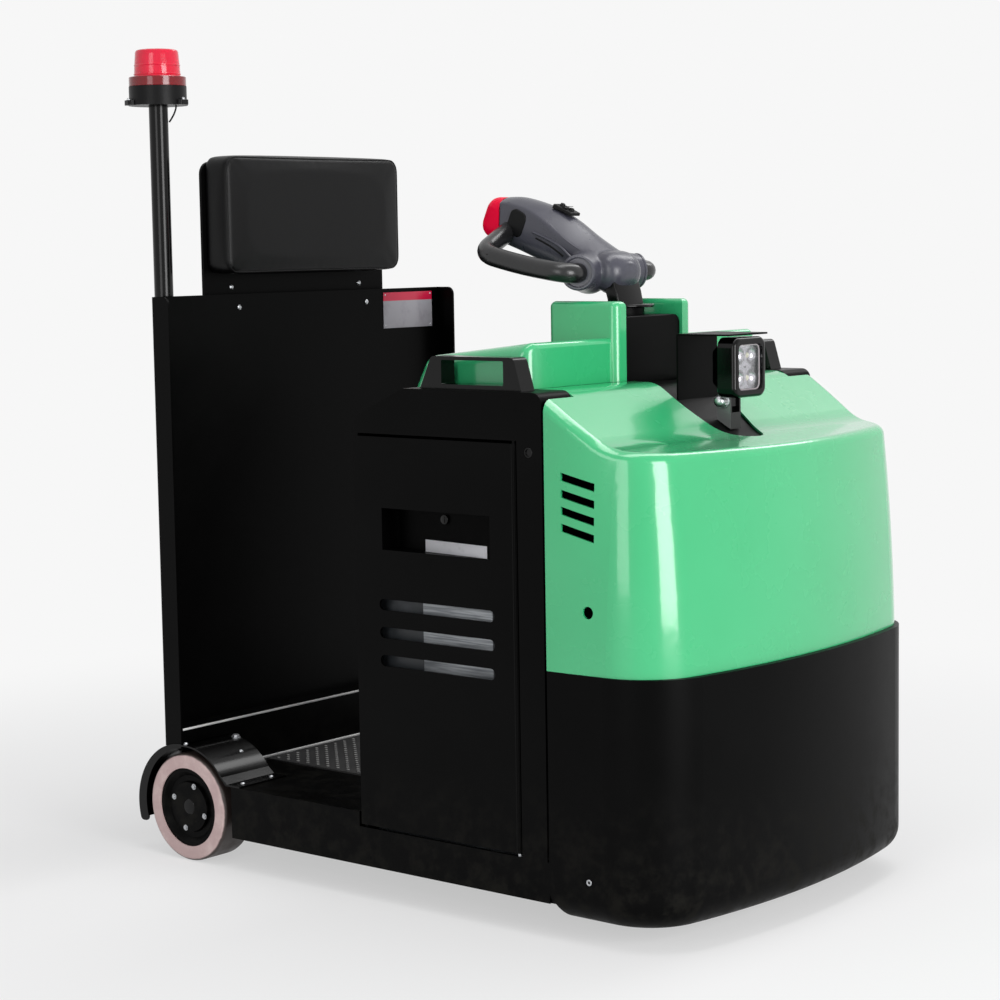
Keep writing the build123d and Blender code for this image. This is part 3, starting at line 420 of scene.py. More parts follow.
# Pieces
MM = 0.001
PANEL_X = -0.512        # the rear panel's rear face
SIDES = (("right", -1), ("left", 1))
UPRIGHT = (0, 0, 1)
AHEAD = (1, 0, 0)


def spot(x, y, z):
    """A point in mm ahead of the rear panel, to the operator's left and above the ground."""
    return Vector((PANEL_X + x * MM, y * MM, z * MM))


def finished(name, form, body, slot, sharp=35.0, finish=None):
    """Makes a piece of a mesh under construction: smooth shaded, in its finish, riding on its body."""
    bmesh.ops.recalc_face_normals(form, faces=form.faces)
    mesh = bpy.data.meshes.new(name)
    form.to_mesh(mesh)
    form.free()
    mesh.polygons.foreach_set("use_smooth", [True] * len(mesh.polygons))
    mesh.set_sharp_from_angle(angle=radians(sharp))
    mesh.materials.append(finish or FINISHES[slot])
    piece = bpy.data.objects.new(name, mesh)
    bpy.context.scene.collection.objects.link(piece)
    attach(piece, body)
    return piece


def facing(at, direction):
    """A frame at a point, its Z along a direction and its Y as near upright as it can be."""
    aim = Vector(direction).to_track_quat("Z", "Y").to_matrix().to_4x4()
    return Matrix.Translation(Vector(at)) @ aim


def raised(place, height):
    """A frame moved along its own Z axis."""
    return place @ Matrix.Translation((0, 0, height))


def rounded(form, edges, offset, steps=2):
    """Rounds some edges of a mesh under construction."""
    bmesh.ops.bevel(form, geom=edges, offset=offset, segments=steps, profile=0.5, affect="EDGES", material=-1)


def disc(form, place, radius, height, top=None, sides=24, edge=0.0):
    """A short cylinder or cone standing on a frame's origin, its top edge rounded where edge is given."""
    made = bmesh.ops.create_cone(
        form, cap_ends=True, segments=sides, radius1=radius, radius2=radius if top is None else top,
        depth=height, matrix=raised(place, height / 2),
    )
    if edge:
        crown = place @ Vector((0, 0, height))
        axis = (place.to_3x3() @ Vector((0, 0, 1))).normalized()
        upper = {v for v in made["verts"] if abs((v.co - crown).dot(axis)) < height * 0.1}
        edges = {e for v in made["verts"] if v in upper for e in v.link_edges}
        rim = [e for e in edges if all(v in upper for v in e.verts)]
        rounded(form, rim, edge)


def block(form, low, high, edge=0.0):
    """A box between two corners with rounded edges."""
    low, high = Vector(low), Vector(high)
    size = Matrix.Diagonal((*(high - low), 1))
    made = bmesh.ops.create_cube(form, size=1, matrix=Matrix.Translation((low + high) / 2) @ size)
    if edge:
        edges = list({e for v in made["verts"] for e in v.link_edges})
        rounded(form, edges, edge)


def turned(form, place, profile, sides=64):
    """A profile of radii and heights in mm, spun round a frame's Z axis."""
    points = [form.verts.new(place @ Vector((r * MM, 0, h * MM))) for r, h in profile]
    edges = [form.edges.new(pair) for pair in zip(points, points[1:])]
    axis = place.to_3x3() @ Vector((0, 0, 1))
    before = set(form.verts) - set(points)
    bmesh.ops.spin(form, geom=points + edges, cent=place.translation, axis=axis, angle=2 * pi, steps=sides,
                   use_merge=True)
    made = [v for v in form.verts if v not in before]
    bmesh.ops.remove_doubles(form, verts=made, dist=1e-6)


def bead(form, place, radius, thick, sides=64):
    """A round ring about a frame's Z axis. turned scales its sizes once more, so that it is only a speck."""
    around = [(radius + thick * cos(pi * i / 4), thick * sin(pi * i / 4)) for i in range(9)]
    turned(form, place, around, sides)


def tube(form, points, radius, closed=False, roundness=2):
    """A round wire along a smooth line, added to a mesh under construction."""
    line = bpy.data.curves.new("wire", "CURVE")
    line.dimensions = "3D"
    line.bevel_depth = radius
    line.bevel_resolution = roundness
    line.resolution_u = 6
    line.use_fill_caps = not closed
    run = line.splines.new("NURBS")
    run.points.add(len(points) - 1)
    for knot, point in zip(run.points, points):
        knot.co = (*point, 1.0)
    run.order_u = 3
    run.use_cyclic_u = closed
    run.use_endpoint_u = not closed
    carrier = bpy.data.objects.new("wire", line)
    mesh = bpy.data.meshes.new_from_object(carrier)
    form.from_mesh(mesh)
    bpy.data.objects.remove(carrier)
    bpy.data.curves.remove(line)
    bpy.data.meshes.remove(mesh)


def cap_screw(form, place, radius, height):
    """A round head on its washer, with a low six-sided face in its socket's place."""
    disc(form, place, radius * 1.5, height * 0.25, sides=20)
    disc(form, place, radius, height, sides=16, edge=radius * 0.15)
    disc(form, raised(place, height), radius * 0.5, height * 0.04, sides=6)


def dome_screw(form, place, radius, height):
    """A plain button head: a low round rim under a flat-topped cone."""
    disc(form, place, radius, height * 0.4, sides=16)
    disc(form, raised(place, height * 0.4), radius, height * 0.6, top=radius * 0.55, sides=16)


def hex_bolt(form, place, radius, height):
    """A six-sided bolt head on its washer."""
    disc(form, place, radius * 1.25, height * 0.2, sides=24)
    disc(form, raised(place, height * 0.2), radius, height * 0.8, sides=6, edge=radius * 0.08)


def apply_modifiers(piece):
    """Bakes a piece's modifiers into its mesh."""
    graph = bpy.context.evaluated_depsgraph_get()
    done = bpy.data.meshes.new_from_object(piece.evaluated_get(graph))
    done.materials.clear()
    for material in piece.data.materials:
        done.materials.append(material)
    piece.modifiers.clear()
    piece.data = done


def skin_of(piece):
    """A piece's surface, to find the nearest point on it."""
    mesh = piece.data
    return BVHTree.FromPolygons([v.co for v in mesh.vertices], [tuple(p.vertices) for p in mesh.polygons])


def laid_on(skin, points, above=0.0):
    """Points moved to the nearest place on a surface, and a little off it."""
    found = (skin.find_nearest(point)[:2] for point in points)
    return [place + normal * above for place, normal in found]


POLE = (-33.5, -331.5)                  # the beacon pole's axis, in mm ahead and to the left
LEAD_TURN = radians(39.8)               # which way the cable leaves the pole
LEAD_ROUTE = ((33.0, 1385.5), (32.0, 1372.5), (19.3, 1355.5))   # off the pole's axis, above the ground
LENS_BASE = 1420
LENS_PROFILE = (
    (0, 0), (51.4, 0), (52, 0.7), (52, 16), (51.2, 17), (43.4, 17.4), (42.4, 18.6), (42.1, 20.4),
    (43.0, 21.2), (43.0, 22.8), (42.1, 23.6), (41.4, 36.4), (42.1, 37.2), (42.1, 38.6), (41.2, 39.4),
    (39.8, 57), (39.4, 61.5), (38, 64.6), (35, 66.2), (30, 66.8), (0, 67),
)
FLANGE_TOP = 1394.5
FLANGE_SCREW_CIRCLE = 57.3
FLANGE_SCREW_ANGLES = (10, 130, 250)
BASE_RIBS = (1402.5, 1417.5)


def round_pole(off, angle, height):
    """A point off the beacon pole's axis."""
    return spot(POLE[0] + off * cos(angle), POLE[1] + off * sin(angle), height)


def make_beacon_cable():
    """The short lead from the beacon's flange into its pole."""
    line = bpy.data.curves.new("beacon_cable", "CURVE")
    line.dimensions = "3D"
    line.bevel_depth = 1.6 * MM
    line.bevel_resolution = 3
    line.use_fill_caps = True
    run = line.splines.new("NURBS")
    run.points.add(len(LEAD_ROUTE) - 1)
    route = [round_pole(off, LEAD_TURN, height) for off, height in LEAD_ROUTE]
    for knot, point in zip(run.points, route):
        knot.co = (*point, 1.0)
    run.order_u = 3
    run.use_endpoint_u = True
    line.materials.append(FINISHES["black_plastic"])
    cable = bpy.data.objects.new("beacon_cable", line)
    bpy.context.scene.collection.objects.link(cable)
    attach(cable, "chassis")
    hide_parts("beacon_lead")


def make_beacon_lens():
    """Red lens with a collar and two moulded bands, and the screws of its flange."""
    form = bmesh.new()
    turned(form, facing(spot(*POLE, LENS_BASE), UPRIGHT), LENS_PROFILE, 96)
    lens = finished("beacon_lens", form, "chassis", "red_lens", sharp=28)
    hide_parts("beacon_dome")
    form = bmesh.new()
    for angle in FLANGE_SCREW_ANGLES:
        at = round_pole(FLANGE_SCREW_CIRCLE, radians(angle), FLANGE_TOP)
        cap_screw(form, facing(at, UPRIGHT), 2.7 * MM, 4 * MM)
    finished("beacon_screws", form, "chassis", "steel")
    form = bmesh.new()
    for height in BASE_RIBS:
        bead(form, facing(spot(*POLE, height), UPRIGHT), 52.5 * MM, 0.9 * MM, 96)
    finished("beacon_base_ribs", form, "chassis", "black_plastic")


CUSHION_CORNER = 24 * MM
CUSHION_EDGE = 7 * MM
CUSHION_SEWN = 9 * MM       # the back stays put this deep
CUSHION_STIFF = 60
CUSHION_BEND = 12
CUSHION_VOXEL = 4 * MM
CUSHION_INSET = 2 * MM
CUSHION_CROWN = 4 * MM      # the front starts this far back and swells
CUSHION_PRESSURE = 1.2
CUSHION_CAP = 5 * MM
CLOTH_STEPS = 20
WELT_RADIUS = 1.5 * MM


def make_cushion():
    """Firm back cushion: a rounded slab swollen a little as cloth, with a welt round its front."""
    low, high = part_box("backrest_cushion")
    low += Vector((0, CUSHION_INSET, CUSHION_INSET))
    high -= Vector((CUSHION_CROWN, CUSHION_INSET, CUSHION_INSET))
    form = bmesh.new()
    block(form, low, high)
    upright = [e for e in form.edges if abs(e.verts[0].co.x - e.verts[1].co.x) > 0.01]
    rounded(form, upright, CUSHION_CORNER, 8)
    front = [e for e in form.edges if min(v.co.x for v in e.verts) > high.x - MM]
    rounded(form, front, CUSHION_EDGE, 3)
    cushion = finished("cushion", form, "chassis", "cushion_cover", sharp=80)
    grain = cushion.modifiers.new("skin", "REMESH")
    grain.mode = "VOXEL"
    grain.voxel_size = CUSHION_VOXEL
    apply_modifiers(cushion)
    rest = [v.co.copy() for v in cushion.data.vertices]
    back = cushion.vertex_groups.new(name="back")
    back.add([i for i, at in enumerate(rest) if at.x < low.x + CUSHION_SEWN], 1.0, "REPLACE")
    cloth = cushion.modifiers.new("cloth", "CLOTH")
    cloth.settings.use_pressure = True
    cloth.settings.uniform_pressure_force = CUSHION_PRESSURE
    cloth.settings.tension_stiffness = CUSHION_STIFF
    cloth.settings.compression_stiffness = CUSHION_STIFF
    cloth.settings.bending_stiffness = CUSHION_BEND
    cloth.settings.effector_weights.gravity = 0.0
    cloth.settings.vertex_group_mass = "back"
    cloth.point_cache.frame_start = 1
    cloth.point_cache.frame_end = CLOTH_STEPS
    for step in range(1, CLOTH_STEPS + 1):
        bpy.context.scene.frame_set(step)
    apply_modifiers(cushion)
    bpy.context.scene.frame_set(1)
    for vertex, start in zip(cushion.data.vertices, rest):
        move = vertex.co - start
        if move.length > CUSHION_CAP:
            vertex.co = start + move.normalized() * CUSHION_CAP
    cushion.data.polygons.foreach_set("use_smooth", [True] * len(cushion.data.polygons))
    ease = cushion.modifiers.new("ease", "SMOOTH")
    ease.factor = 0.5
    ease.iterations = 6
    apply_modifiers(cushion)
    skin = skin_of(cushion)
    smooth = cushion.modifiers.new("smooth", "SUBSURF")
    smooth.levels = smooth.render_levels = 1
    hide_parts("backrest_cushion")
    form = bmesh.new()
    centre = Vector((high.x - MM, (low.y + high.y) / 2, (low.z + high.z) / 2))
    outline = rounded_line(centre, (high.y - low.y) / 2, (high.z - low.z) / 2, CUSHION_CORNER, 10)
    tube(form, laid_on(skin, outline, 0.3 * MM), WELT_RADIUS, closed=True)
    finished("cushion_welt", form, "chassis", "cushion_cover", sharp=80)


def rounded_line(centre, half_y, half_z, radius, steps):
    """A closed line round an upright rectangle with rounded corners, at even spacing along its sides."""
    corners = []
    for number, (sy, sz) in enumerate(((1, 1), (-1, 1), (-1, -1), (1, -1))):
        hub = centre + Vector((0, sy * (half_y - radius), sz * (half_z - radius)))
        turns = [radians(90 * number + 22.5 * i) for i in range(5)]
        corners.append([hub + Vector((0, radius * cos(turn), radius * sin(turn))) for turn in turns])
    points = []
    for corner, following in zip(corners, corners[1:] + corners[:1]):
        side = [corner[-1].lerp(following[0], i / (steps + 1)) for i in range(1, steps + 1)]
        points += corner + side
    return points


PLATE_BAND = (1.0128, 1.0132)       # m above the ground, where the plate's red top begins


def printed_plate():
    """A blank enamelled plate, red along its top."""
    f = Finish("printed_plate", coat_weight=0.2, coat_roughness=0.2)
    band = f.step(f.axis("Z"), *PLATE_BAND)
    dirt = f.step(f.noise(40, 5), 0.45, 0.8)
    silver = f.mix(dirt, colour(150, 148, 154), colour(132, 128, 134))
    f.set("Base Color", f.mix(band, silver, colour(186, 26, 62)))
    f.set("Roughness", 0.3 + 0.2 * dirt)
    return f.material


PANEL_FACE = 4                  # mm ahead of the panel's rear face
BACKREST_FACE = -16
PLATE_THICK = 1.2
PLATE_Y = (225, 372)
PLATE_Z = (958, 1030)
PLATE_SCREW_IN = 5              # from the plate's edges
BACKREST_SCREW_Y = 176


def make_panel_fittings():
    """Blank plate and screws of the rear panel, and bright strips on the sheet edges of its lip and the step,
    which are painted highlights.
    """
    form = bmesh.new()
    plate_face = PANEL_FACE + PLATE_THICK
    low, high = spot(PANEL_FACE, PLATE_Y[0], PLATE_Z[0]), spot(plate_face, PLATE_Y[1], PLATE_Z[1])
    block(form, low, high, edge=0.4 * MM)
    finished("panel_plate", form, "chassis", "steel", finish=printed_plate())
    form = bmesh.new()
    for y in (PLATE_Y[0] + PLATE_SCREW_IN, PLATE_Y[1] - PLATE_SCREW_IN):
        for z in (PLATE_Z[0] + PLATE_SCREW_IN, PLATE_Z[1] - PLATE_SCREW_IN):
            dome_screw(form, facing(spot(plate_face, y, z), AHEAD), 1.8 * MM, 1 * MM)
    for y in (-BACKREST_SCREW_Y, BACKREST_SCREW_Y):
        dome_screw(form, facing(spot(BACKREST_FACE, y, 1051), AHEAD), 5 * MM, 2.6 * MM)
        dome_screw(form, facing(spot(PANEL_FACE, y, 1013), AHEAD), 5 * MM, 2.6 * MM)
    finished("panel_screws", form, "chassis", "steel")
    form = bmesh.new()
    # bright strips along the lip's and the platform's edges: painted highlights
    block(form, spot(45.8, -390, 241.3), spot(46.7, 390, 245.4), edge=0.4 * MM)     # the panel's lower lip
    block(form, spot(46, -274, 154), spot(50.5, 274, 158.8), edge=0.9 * MM)         # the platform's rear edge
    finished("step_edges", form, "chassis", "steel", finish=painted_edge_highlight())


def painted_edge_highlight():
    """Sheet edge painted near white: a painted highlight where the edge catches the light."""
    f = Finish("painted_edge_highlight", metallic=0.2)
    # the painted highlight varies in brightness along the edge
    highlight_variation = f.step(f.noise(55, 5, at=f.stretched((1, 0.25, 1))), 0.3, 0.7)
    f.set("Base Color", f.mix(highlight_variation, colour(196, 196, 196), colour(236, 236, 234)))
    f.set("Roughness", 0.5 - 0.15 * highlight_variation)
    return f.material


WHEEL_X = 56
WHEEL_Z = 100
HUB_FACE = 389
HUB_SCREW_CIRCLE = 42
HUB_SCREW_ANGLES = (160.5, 70.4, -17, -105)


def make_wheel_fittings():
    """Screws, rings and caps of the rear hubs, and the screws of the wheel covers."""
    for side, sy in SIDES:
        form = bmesh.new()
        for turn in map(radians, HUB_SCREW_ANGLES):
            ahead, above = HUB_SCREW_CIRCLE * cos(turn), HUB_SCREW_CIRCLE * sin(turn)
            at = spot(WHEEL_X + ahead, sy * HUB_FACE, WHEEL_Z + above)
            cap_screw(form, facing(at, (0, sy, 0)), 3.6 * MM, 3 * MM)
        finished("hub_screws_" + side, form, "rear_wheel_" + side, "steel")
        form = bmesh.new()
        hub = facing(spot(WHEEL_X, sy * HUB_FACE, WHEEL_Z), (0, sy, 0))
        bead(form, hub, 46.6 * MM, 0.8 * MM)
        finished("hub_ring_" + side, form, "rear_wheel_" + side, "steel")
        form = bmesh.new()
        bead(form, raised(hub, 2.2 * MM), 69.5 * MM, 1.2 * MM)
        turned(form, hub, ((0, 1.4), (9, 1.3), (13, 0.9), (14, 0)), 32)
        finished("hub_cap_" + side, form, "rear_wheel_" + side, "black_gloss")
        form = bmesh.new()
        cap_screw(form, facing(spot(73.6, sy * 283, 214.4), (0.16, 0, 0.99)), 6 * MM, 6 * MM)
        dome_screw(form, facing(spot(47.5, sy * 386, 215.6), (-0.07, 0, 1)), 4.5 * MM, 3.4 * MM)
        dome_screw(form, facing(spot(117, sy * 312, 198.6), (0.52, 0, 0.85)), 4 * MM, 2.2 * MM)
        for y in (300, 372):
            dome_screw(form, facing(spot(181, sy * y, 157), (0, 0, 1)), 4.5 * MM, 2.6 * MM)
        finished("cover_screws_" + side, form, "chassis", "steel")


RECESS_X = (574, 795.8)         # the sloping back of the door's pull, rear and front
RECESS_DEEP = (367.2, 393.2)    # how far out it lies there
RECESS_Z = (614.2, 684.8)
RECESS_RISE = (RECESS_DEEP[1] - RECESS_DEEP[0]) / (RECESS_X[1] - RECESS_X[0])
LOCK_X = 690


def sloping_sheet(form, side, out, ends, heights, thickness):
    """A sheet along the pull recess's sloping back, between two ends and two heights, some mm outside it.

    The new face has no normal yet, so that solidify lays its far side on its near one, without thickness.
    """
    rows = []
    for x in ends:
        deep = RECESS_DEEP[0] + out + RECESS_RISE * (x - RECESS_X[0])
        rows.append([form.verts.new(spot(x, side * deep, z)) for z in heights])
    sheet = form.faces.new(rows[0] + rows[1][::-1])
    bmesh.ops.solidify(form, geom=[sheet], thickness=thickness)


def make_door_fittings():
    """Sloping back of each door's pull recess with its lock, and the blank plate on the right door."""
    for side, sy in SIDES:
        form = bmesh.new()
        sloping_sheet(form, sy, 0, RECESS_X, RECESS_Z, 1.0 * MM)
        finished("pull_back_" + side, form, "door_" + side, "black_paint")
        form = bmesh.new()
        lock = facing(spot(LOCK_X, sy * 380.8, 672), (0, sy, 0))
        disc(form, lock, 8 * MM, 4.5 * MM, sides=32, edge=1 * MM)
        block(form, spot(LOCK_X - 1.2, sy * 386.2, 667), spot(LOCK_X + 1.2, sy * 385, 677), edge=0.2 * MM)
        finished("door_lock_" + side, form, "door_" + side, "black_gloss")
    form = bmesh.new()
    sloping_sheet(form, -1, 1.2, (640, 789), (614.5, 635), 0.6 * MM)
    finished("door_plate", form, "door_right", "steel", finish=white_plate())


def white_plate():
    """A bare white plastic plate with some dirt on it."""
    f = Finish("white_plate", coat_weight=0.2)
    dirt = f.step(f.noise(60, 5), 0.5, 0.85)
    f.set("Base Color", f.mix(dirt, colour(226, 226, 230), colour(204, 203, 206)))
    f.set("Roughness", 0.35 + 0.15 * dirt)
    return f.material


def battery_print():
    """A bare foil label of brushed silver."""
    f = Finish("battery_foil", metallic=0.35)
    streaks = f.noise(30, 4, at=f.stretched((0.4, 1, 9)))
    f.set("Base Color", f.mix(f.step(streaks, 0.3, 0.7), colour(120, 124, 128), colour(186, 190, 194)))
    f.set("Roughness", 0.35 + 0.2 * streaks)
    return f.material


def make_battery_label():
    """The bare label on the battery, seen through the right door's slots."""
    form = bmesh.new()
    block(form, spot(629, -373, 408), spot(781, -371.9, 531), edge=0.2 * MM)
    finished("battery_label", form, "chassis", "steel", finish=battery_print())


PLUG_PROFILE = ((0, 1.2), (5.5, 1.2), (6.2, 3.4), (8.2, 3.6), (8.8, 2.8), (8.8, 0))
SKIRT_SCREW_PROFILE = ((0, 0.2), (2.4, 0.2), (2.8, 0.6), (5, 0.5), (5.4, 0))


def make_body_fittings():
    """Plugs in the side covers and the skirt's lower screws."""
    for side, sy in SIDES:
        form = bmesh.new()
        turned(form, facing(spot(879, sy * 391.4, 792), (0, sy, 0)), PLUG_PROFILE, 32)
        finished("cover_plug_" + side, form, "chassis", "black_gloss")
        form = bmesh.new()
        turned(form, facing(spot(991.5, sy * 394.8, 107.6), (0, sy, 0)), SKIRT_SCREW_PROFILE, 24)
        finished("skirt_screw_" + side, form, "chassis", "steel")


def bright_bowl():
    """Vacuum-plated reflector."""
    f = Finish("reflector", metallic=1.0)
    haze = f.noise(80, 3)
    f.set("Base Color", f.mix(haze, colour(200, 192, 196), colour(228, 222, 226)))
    f.set("Roughness", 0.12 + 0.2 * haze)
    return f.material


LAMP_Z = 912.5
BOWL_Y = 17.4               # half a bowl's share of the reflector
BOWL_Z = 19
BOWL_MOUTH = 15
BOWL_PROFILE = ((BOWL_MOUTH, 0), (13.6, -3.2), (10.6, -6.2), (6, -8.4), (0, -8.6))
NUT_PROFILE = ((10.6, 8.6), (10.4, 13), (9, 16.6), (6.2, 19), (3, 20), (0, 20.2))


def make_lamp_optics():
    """Reflector plate with four bowls, the chips in them, the pale rim round the lens and the bracket's nut."""
    form = bmesh.new()
    chips = bmesh.new()
    for sy in (-1, 1):
        for sz in (-1, 1):
            place = facing(spot(1027, sy * BOWL_Y, LAMP_Z + sz * BOWL_Z), AHEAD)
            made = bmesh.ops.create_circle(form, segments=32, radius=BOWL_MOUTH * MM, matrix=place)
            mouth = list({e for v in made["verts"] for e in v.link_edges})
            grown = bmesh.ops.extrude_edge_only(form, edges=mouth)
            local = place.inverted()
            for v in grown["geom"]:
                if isinstance(v, bmesh.types.BMVert):
                    at = local @ v.co
                    reach = 1 / max(abs(at.x) / (BOWL_Y * MM), abs(at.y) / (BOWL_Z * MM))
                    v.co = place @ (at * reach)
            turned(form, place, BOWL_PROFILE, 32)
            disc(chips, raised(place, -8.5 * MM), 4.4 * MM, 1.6 * MM, sides=16, edge=0.4 * MM)
    finished("lamp_reflector", form, "chassis", "steel", finish=bright_bowl())
    chip_finish = moulded("lamp_chip", colour(236, 226, 190), colour(246, 240, 214), 0.3, 0.05)
    finished("lamp_chips", chips, "chassis", "clear_lens", finish=chip_finish)
    form = bmesh.new()
    nut = facing(spot(996, -15.2, 856), (0, -1, 0))
    disc(form, nut, 13 * MM, 3 * MM, sides=32, edge=0.6 * MM)
    disc(form, raised(nut, 3 * MM), 12 * MM, 6 * MM, sides=6, edge=0.8 * MM)
    turned(form, nut, NUT_PROFILE, 32)
    finished("lamp_nut", form, "chassis", "steel")
    form = bmesh.new()
    rim = rounded_line(spot(1034.2, 0, LAMP_Z), 34.4 * MM, 37.4 * MM, 10 * MM, 4)
    tube(form, rim, 1.3 * MM, closed=True)
    rim_finish = moulded("lamp_rim", colour(150, 142, 146), colour(176, 168, 172), 0.35, 0.1)
    finished("lamp_rim", form, "chassis", "black_plastic", finish=rim_finish)


HEAD_AT = (778, 1039)       # where the head's middle line starts, ahead and above the ground
HEAD_TURN = radians(24)
HEAD_LONG = Vector((-cos(HEAD_TURN), 0, sin(HEAD_TURN)))
HEAD_UP = Vector((sin(HEAD_TURN), 0, cos(HEAD_TURN)))


def on_head(along, across, above):
    """A point along the tiller's head, to its left and above its middle line, in mm."""
    return spot(HEAD_AT[0], across, HEAD_AT[1]) + HEAD_LONG * (along * MM) + HEAD_UP * (above * MM)


def beside_head(side, places):
    """Points along one side of the head."""
    return [on_head(along, side * across, above) for along, across, above in places]


HEAD_RINGS = (      # along, width, bottom, crease, top, bottom corner's radius
    (4, 56, 36, 44, 50, 8), (18, 68, 22, 42, 55, 14), (40, 80, 0, 41, 58, 22),
    (70, 85, -14, 41, 61, 28), (100, 86, -17, 42, 65, 30), (145, 86, -18, 48, 73, 30),
    (186, 82, -20, 55, 75, 28), (225, 76, -22, 58, 72, 26), (268, 68, -26, 51, 64, 24),
    (300, 60, -30, 41, 51, 22), (318, 50, -28, 34, 43, 18), (327, 38, -20, 27, 35, 14),
)
HEAD_VOXEL = 1.7 * MM
HEAD_CUT = 524.2            # the red button starts behind this place
BARREL_AT = (759, 1073)
BARREL_HALF = ((0, 47), (10, 46.4), (19, 44), (26, 40), (31, 34), (34.4, 26), (36, 16), (36.4, 0))
HORN_AT = (722, 26, 1073)
HORN_ALONG = (24, 66)       # forward and outward
HORN_PROFILE = ((0, -4), (38, -3), (38.6, 2), (37, 14), (33.8, 30), (32, 45), (30, 62), (0, 62))
HORN_MOUTH = (
    (24, 60), (30, 60), (31, 61), (31, 63.6), (29.6, 65.6), (27.6, 66.2), (25.4, 65.6), (24.6, 63), (24, 60),
)
LIP = ((197, 46, 27), (175, 47, 29), (150, 48, 30), (123, 50, 29), (98, 52, 24))
CREASE = ((278, 30, 50), (224, 34, 61), (176, 36, 55), (127, 38, 42), (87, 42, 40))
# line of the black strip painted as the shade of the slot under each lip
SLOT_SHADE = ((187, 46, 20), (164, 47, 21), (138, 48, 20), (116, 49, 16))


def smooth_rows(rows, steps):
    """Rows of sizes with more of them in between, on smooth curves through the given ones."""
    last = len(rows) - 1
    result = []
    for i in range(last):
        around = [rows[max(0, min(last, i + shift))] for shift in (-1, 0, 1, 2)]
        for step in range(steps):
            t = step / steps
            result.append([0.5 * (
                2 * b + (c - a) * t + (2 * a - 5 * b + 4 * c - d) * t * t + (3 * b - a - 3 * c + d) * t * t * t
            ) for a, b, c, d in zip(*around)])
    return result + [rows[last]]


def head_ring(width, bottom, crease, top, radius):
    """Half of a section of the head, from the bottom's middle over the crease to the ridge."""
    half = width / 2
    points = [(0.0, bottom), (half - radius, bottom)]
    for step in range(1, 9):
        turn = radians(step * 90 / 8)
        points.append((half - radius + radius * sin(turn), bottom + radius * (1 - cos(turn))))
    points.append((half, crease - 2))
    for step in range(11):
        inward = step / 10
        points.append(((half - 0.8) * (1 - inward), crease + (top - crease) * (1 - (1 - inward) ** 2)))
    return points


def horn_place(side):
    """Where a horn starts, its Z axis along the horn."""
    ahead, across, height = HORN_AT
    return facing(spot(ahead, side * across, height), (HORN_ALONG[0], side * HORN_ALONG[1], 0))


def make_tiller_head():
    """The head with its barrel and horns, blended into one shell and cut flat where the red button starts."""
    form = bmesh.new()
    rings = []
    for along, *sizes in smooth_rows(HEAD_RINGS, 6):
        half = head_ring(*sizes)
        around = half + [(-across, above) for across, above in reversed(half[1:-1])]
        rings.append([form.verts.new(on_head(along, across, above)) for across, above in around])
    for ring, after in zip(rings, rings[1:]):
        for i in range(len(ring)):
            j = (i + 1) % len(ring)
            form.faces.new((ring[i], ring[j], after[j], after[i]))
    form.faces.new(rings[0])
    form.faces.new(rings[-1])
    bmesh.ops.recalc_face_normals(form, faces=form.faces)
    everything = list(form.verts) + list(form.edges) + list(form.faces)
    cut = bmesh.ops.bisect_plane(
        form, geom=everything, plane_co=spot(HEAD_CUT, 0, 0), plane_no=(-1, 0, 0), clear_outer=True)
    bmesh.ops.holes_fill(form, edges=[e for e in cut["geom_cut"] if isinstance(e, bmesh.types.BMEdge)], sides=0)
    barrel = [(radius, -out) for radius, out in BARREL_HALF] + list(reversed(BARREL_HALF[:-1]))
    turned(form, facing(spot(BARREL_AT[0], 0, BARREL_AT[1]), (0, 1, 0)), barrel)
    for side in (-1, 1):
        turned(form, horn_place(side), HORN_PROFILE)
    head = finished("tiller_shell", form, "tiller", "grey_plastic")
    blend = head.modifiers.new("blend", "REMESH")
    blend.mode = "VOXEL"
    blend.voxel_size = HEAD_VOXEL
    blend.use_smooth_shade = True
    soften = head.modifiers.new("soften", "SMOOTH")
    soften.factor = 0.5
    soften.iterations = 10
    apply_modifiers(head)
    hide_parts("tiller_head")


def make_tiller_fittings():
    """Knobs, creases, horn mouths and side lips of the tiller's head, and black strips under the lips that
    paint the slots' shade.
    """
    form = bmesh.new()
    for along in (161, 183):
        disc(form, facing(on_head(along, 0, 82.5), HEAD_UP), 5 * MM, 5 * MM, top=4 * MM, sides=24, edge=1 * MM)
    block(form, on_head(168, -11, 88.5), on_head(176, 11, 84), edge=0.6 * MM)
    finished("tiller_knobs", form, "tiller", "black_plastic")
    skin = skin_of(bpy.data.objects["tiller_shell"])
    form = bmesh.new()
    for side in (-1, 1):
        horn = horn_place(side)
        bead(form, raised(horn, 2 * MM), 38.6 * MM, 1.5 * MM)
        turned(form, horn, HORN_MOUTH)
        tube(form, laid_on(skin, beside_head(side, LIP), 0.6 * MM), 2.6 * MM)
        tube(form, laid_on(skin, beside_head(side, CREASE), -0.1 * MM), 1.0 * MM)
    finished("tiller_rims", form, "tiller", "grey_plastic")
    # black strips under the lips: painted shade where the slots are, none is cut
    form = bmesh.new()
    for side in (-1, 1):
        tube(form, laid_on(skin, beside_head(side, SLOT_SHADE), -1.2 * MM), 2.2 * MM)
    finished("tiller_slot_shade", form, "tiller", "black_plastic")


LOOP_ROUTE = ((738, 72, 1073), (756, 124, 1071), (642, 124, 1088), (560, 122, 1109), (542, 20, 1150))
LOOP_BENDS = (42, 60, 30)
LOOP_RADIUS = 17.4 * MM


